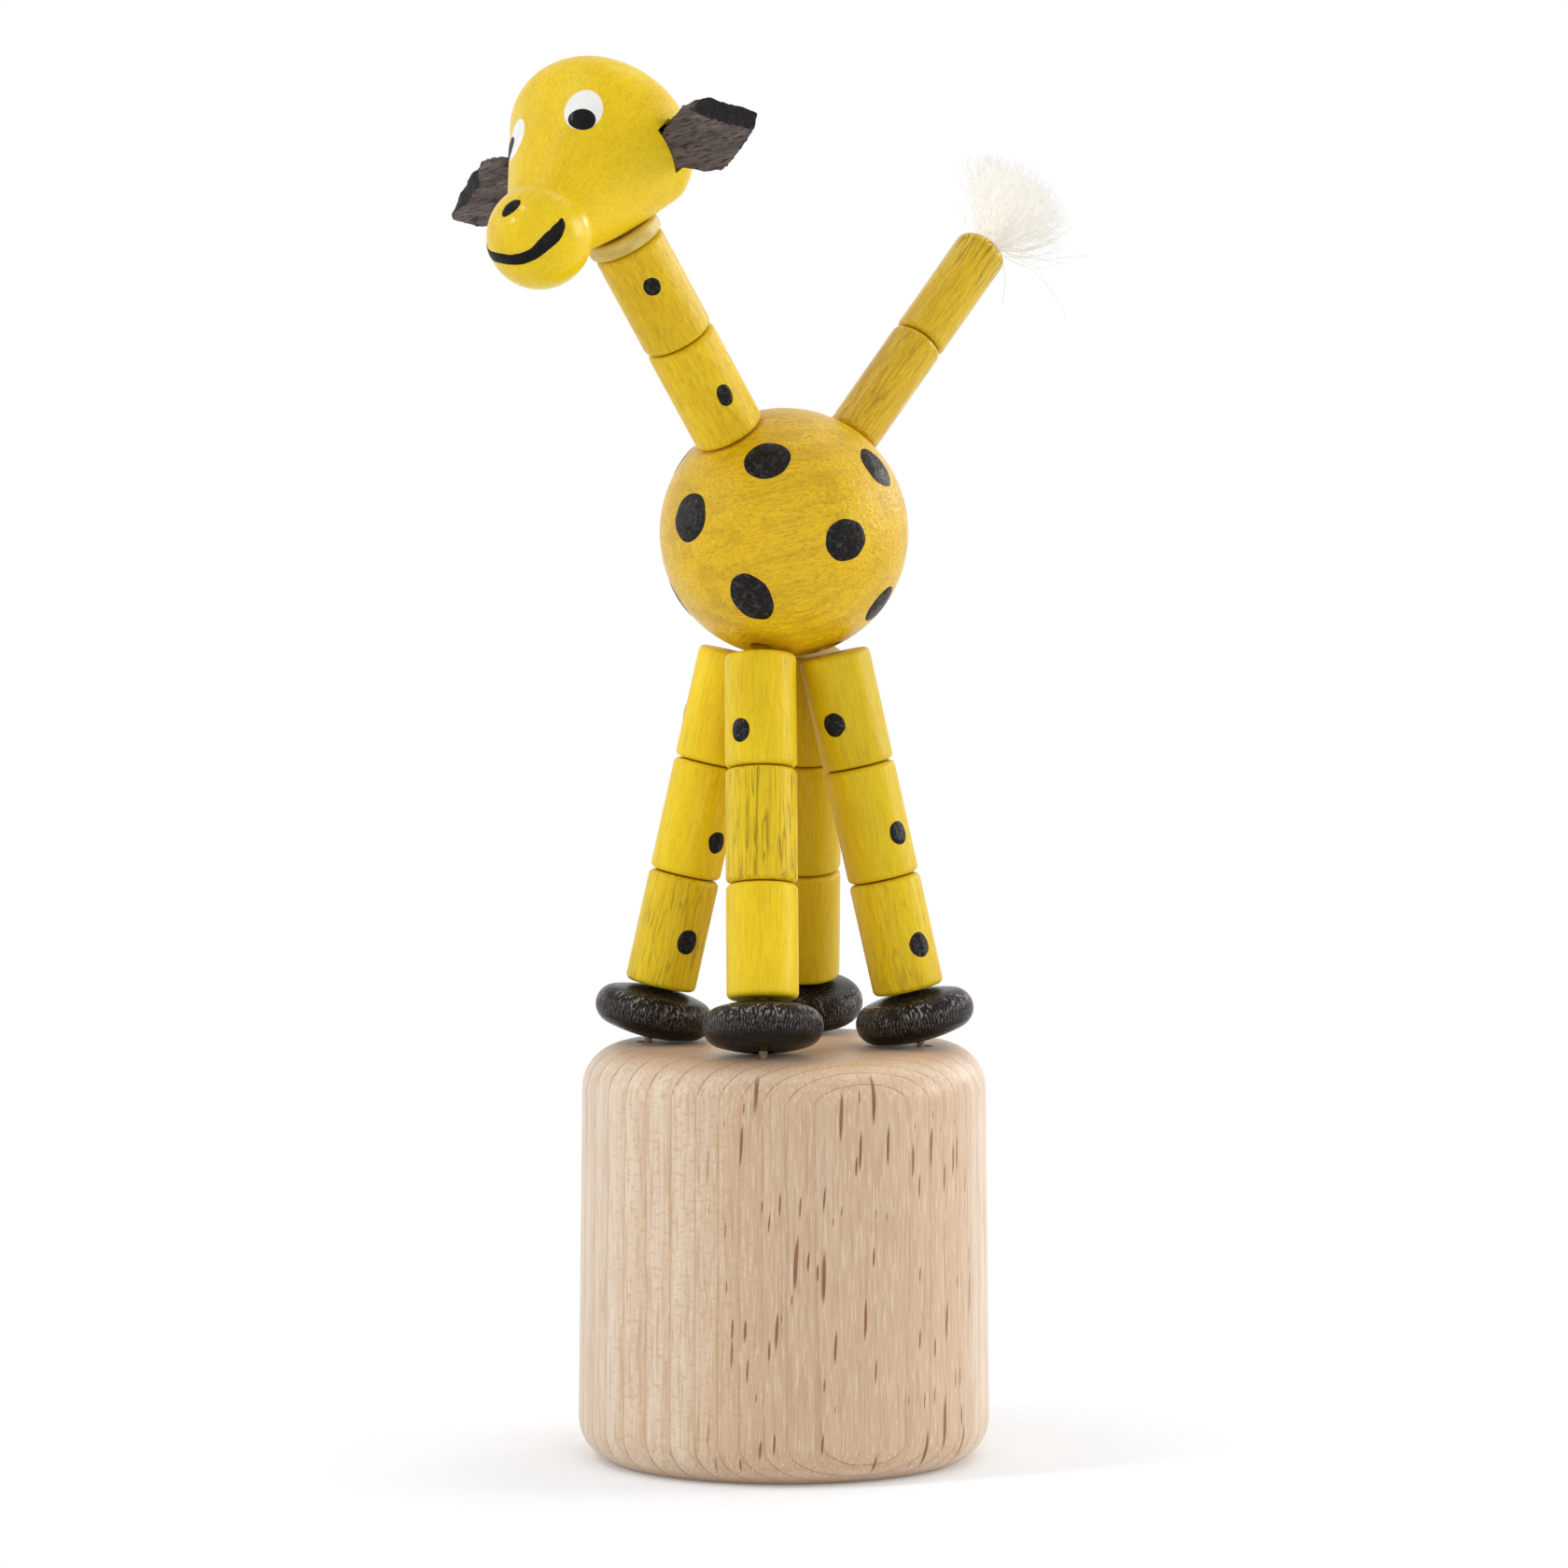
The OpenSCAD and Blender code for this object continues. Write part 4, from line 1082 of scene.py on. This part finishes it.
def tuft():
    """Fibres that leave the bore in locks and curl out in a cone, and finer ones that fray off them."""
    draw = np.random.default_rng(61)
    sheet = Sheet()
    axis = TAIL.axes[:, 2]
    fan = axes_along(axis + 0.2 * VIEW_RIGHT)
    edge = math.cos(math.radians(TUFT_CONE))

    def curls():
        return draw.normal(0, 1, (2, 3)), draw.uniform(3.0, 6.0), draw.uniform(0, PHASES, 2)

    def outward():
        a, f = math.acos(draw.uniform(edge, 1.0)), draw.uniform(0, ROUND)
        return fan @ np.array((math.sin(a) * math.cos(f), math.sin(a) * math.sin(f), math.cos(a)))

    def strand(start, first, target, length, thick, swirl, lock):
        """Bends from the first way to the target, with a curl that grows along it."""
        curl, rate, phase = lock
        curl = curl + 0.45 * draw.normal(0, 1, (2, 3))
        path = [start]
        for j in range(1, STRAND_STEPS):
            t = j / (STRAND_STEPS - 1)
            bend = min(1.0, max(0.0, (t - 0.1) / 0.25))
            bend = bend * bend * (3 - 2 * bend)
            way = first * (1 - bend) + target * bend + TUFT_RISE * t * t
            wind = curl[0] * math.sin(rate * t * 2 + phase[0]) + curl[1] * math.cos(rate * t * 3 + phase[1])
            path.append(path[-1] + unit(way + swirl * t * wind) * length / (STRAND_STEPS - 1))
        tube(sheet, path, thick * np.linspace(1.0, 0.6, STRAND_STEPS), STRAND_SIDES)
        return path

    locks = [(outward(), curls()) for _ in range(TUFT_LOCKS)]
    paths = []
    for k in range(TUFT_STRANDS):
        target, lock = locks[k % TUFT_LOCKS]
        r, f = 0.86 * math.sqrt(draw.uniform(0, 1)), draw.uniform(0, ROUND)
        start = TAIL.out((r * math.cos(f), r * math.sin(f), TAIL_END - 1.6))
        length = 9.1 - 2.6 * draw.uniform(0, 1) ** 2.5
        target = unit(target + 0.13 * draw.normal(0, 1, 3))
        paths.append(strand(start, axis, target, length, draw.uniform(*STRAND_R), STRAND_SWIRL, lock))
    root = TAIL.out((0, 0, TAIL_END))
    for k in range(TUFT_WISPS):
        path = paths[k % TUFT_STRANDS]
        _, lock = locks[k % TUFT_STRANDS % TUFT_LOCKS]
        j = int(draw.integers(4, 9))
        first = unit(path[j + 1] - path[j])
        reach = np.linalg.norm(path[j] - root)
        length = max(1.0, 7.6 - 1.6 * draw.uniform(0, 1) ** 2 - reach) * 1.15
        target = unit(first + 0.2 * draw.normal(0, 1, 3))
        strand(path[j], first, target, length, draw.uniform(*WISP_R), WISP_SWIRL, lock)
    for steps in STRAYS:
        path = [root - axis * 1.2] + [root + VIEW_RIGHT * right + UP * up for right, up in steps]
        path = resampled(path, 0.5)
        tube(sheet, path, np.linspace(*STRAY_R[::-1], len(path)), STRAND_SIDES)
    return sheet.piece("tail_tuft_fluff", [FLUFF])


fluff = tuft()
ride(fluff, "tail_upper_bead")
# Fibres this fine let the light through to each other
fluff.visible_shadow = False
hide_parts("tail_tuft")

# Return spring, with closed end turns

SPRING_STEPS, SPRING_SIDES = 40, 10
# Each closed end's share of the wire and of the height
SPRING_END, SPRING_END_RISE = 0.12, 0.055


def spring():
    low = BUTTON_TOP + SPRING_GAP + SPRING_WIRE_D / 2
    high = WELL_TOP - SPRING_GAP - SPRING_WIRE_D / 2
    t = np.linspace(0, 1, SPRING_STEPS * SPRING_TURNS + 1)
    climb = SPRING_END_RISE * ramp(t, 0, SPRING_END)
    climb += (1 - 2 * SPRING_END_RISE) * ramp(t, SPRING_END, 1 - 2 * SPRING_END)
    climb += SPRING_END_RISE * ramp(t, 1 - SPRING_END, SPRING_END)
    a = ROUND * SPRING_TURNS * t
    path = np.column_stack((SPRING_D / 2 * np.cos(a), SPRING_D / 2 * np.sin(a), low + (high - low) * climb))
    sheet = Sheet()
    tube(sheet, path, np.full(len(path), SPRING_WIRE_D / 2), SPRING_SIDES)
    return sheet.piece("coil_spring", [drawn_wire("drawn_wire")])


coil = spring()
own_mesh(coil)
ride(coil, "base")
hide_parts("return_spring")

# Floor, light and camera

FLOOR_SIZE = 6.0
# The floor's own glow, and where it fades out
FLOOR_GLOW, FLOOR_FADE = 0.14, (0.021, 0.046)
FLOOR_TONES = (0.91, 0.93, 0.95, 1), (0.93, 0.95, 0.97, 1)
WORLD_LIGHT = 0.59
SHINE = (1, 1, 1, 1)


def floor():
    """A pale plane that keeps the object's shadow and fades into the white background."""
    s = shade("pale_floor")
    here = s.here()
    cloud = s.step(s.noise(here, 9.0, 2.0), 0.3, 0.7)
    tone = s.add("Mix", {0: cloud, 6: FLOOR_TONES[0], 7: FLOOR_TONES[1]}, data_type="RGBA").outputs[2]
    diffuse = s.add("BsdfDiffuse", {"Color": tone, "Roughness": 0.4})
    seen = s.seen()
    glow = s.add("Emission", {"Color": SHINE, "Strength": s.times(seen, FLOOR_GLOW)})
    both = s.add("AddShader", {0: diffuse.outputs[0], 1: glow.outputs[0]})
    far = s.add("VectorMath", {0: here}, operation="LENGTH").outputs["Value"]
    gone = s.times(s.step(far, *FLOOR_FADE), seen)
    clear = s.add("BsdfTransparent")
    bpy.ops.mesh.primitive_plane_add(size=FLOOR_SIZE)
    plane = bpy.context.object
    plane.name = "studio_floor"
    plane.data.materials.append(s.output(s.add("MixShader", {0: gone, 1: both.outputs[0], 2: clear.outputs[0]})))


floor()

sky = Shade(bpy.data.worlds.new("studio"))
strength = sky.add("MapRange", {0: sky.seen(), 3: WORLD_LIGHT, 4: 1.0}).outputs[0]
bpy.context.scene.world = sky.output(sky.add("Background", {"Color": SHINE, "Strength": strength}), "OutputWorld")


def stand(obj, where, target):
    """Links a lamp or the camera that looks at a target."""
    bpy.context.scene.collection.objects.link(obj)
    z = unit(np.asarray(where, float) - np.asarray(target, float))
    x = unit(np.cross(UP, z))
    m = Matrix.Identity(4)
    for r, row in enumerate(zip(x, np.cross(z, x), z, where)):
        m[r][:] = row
    obj.matrix_world = m


# Lamps as seen from the camera: metres to the right, up and towards it, size and power
LAMP_AIM = (0, 0, 0.06)
LAMPS = {
    "right_box": (0.92, 0.36, -0.12, 0.45, 3.5),
    "rim_box": (0.66, 0.4, -0.66, 0.16, 1.1),
    "left_edge": (-0.95, 0.3, -0.12, 0.5, 1.0),
    "left_box": (-0.76, 0.53, 0.37, 0.12, 1.0),
    "high_box": (-0.46, 0.85, 0.24, 0.12, 0.9),
    "top_box": (0.3, 0.9, -0.3, 0.4, 0.8),
    "fill": (0.16, 0.14, 0.9, 0.8, 1.0),
}
for name, (right, up, toward, size, watts) in LAMPS.items():
    light = bpy.data.lights.new(name, "AREA")
    light.shape = "SQUARE"
    light.size = size
    light.energy = watts
    where = VIEW_RIGHT * right + UP * up + TO_VIEWER * toward
    stand(bpy.data.objects.new(name, light), where, LAMP_AIM)

VIEW_FAR, VIEW_AIM_Z, VIEW_FROM_Z = 0.6, 0.059, 0.062
LENS, SENSOR = 158.4, 36.0
lens = bpy.data.cameras.new("camera")
lens.lens = LENS
lens.sensor_width = SENSOR
lens.sensor_fit = "HORIZONTAL"
lens.clip_start = 0.01
camera = bpy.data.objects.new("camera", lens)
stand(camera, TO_VIEWER * VIEW_FAR + UP * VIEW_FROM_Z, UP * VIEW_AIM_Z)
bpy.context.scene.camera = camera
bpy.context.scene.view_settings.view_transform = "Standard"

bpy.context.view_layer.update()
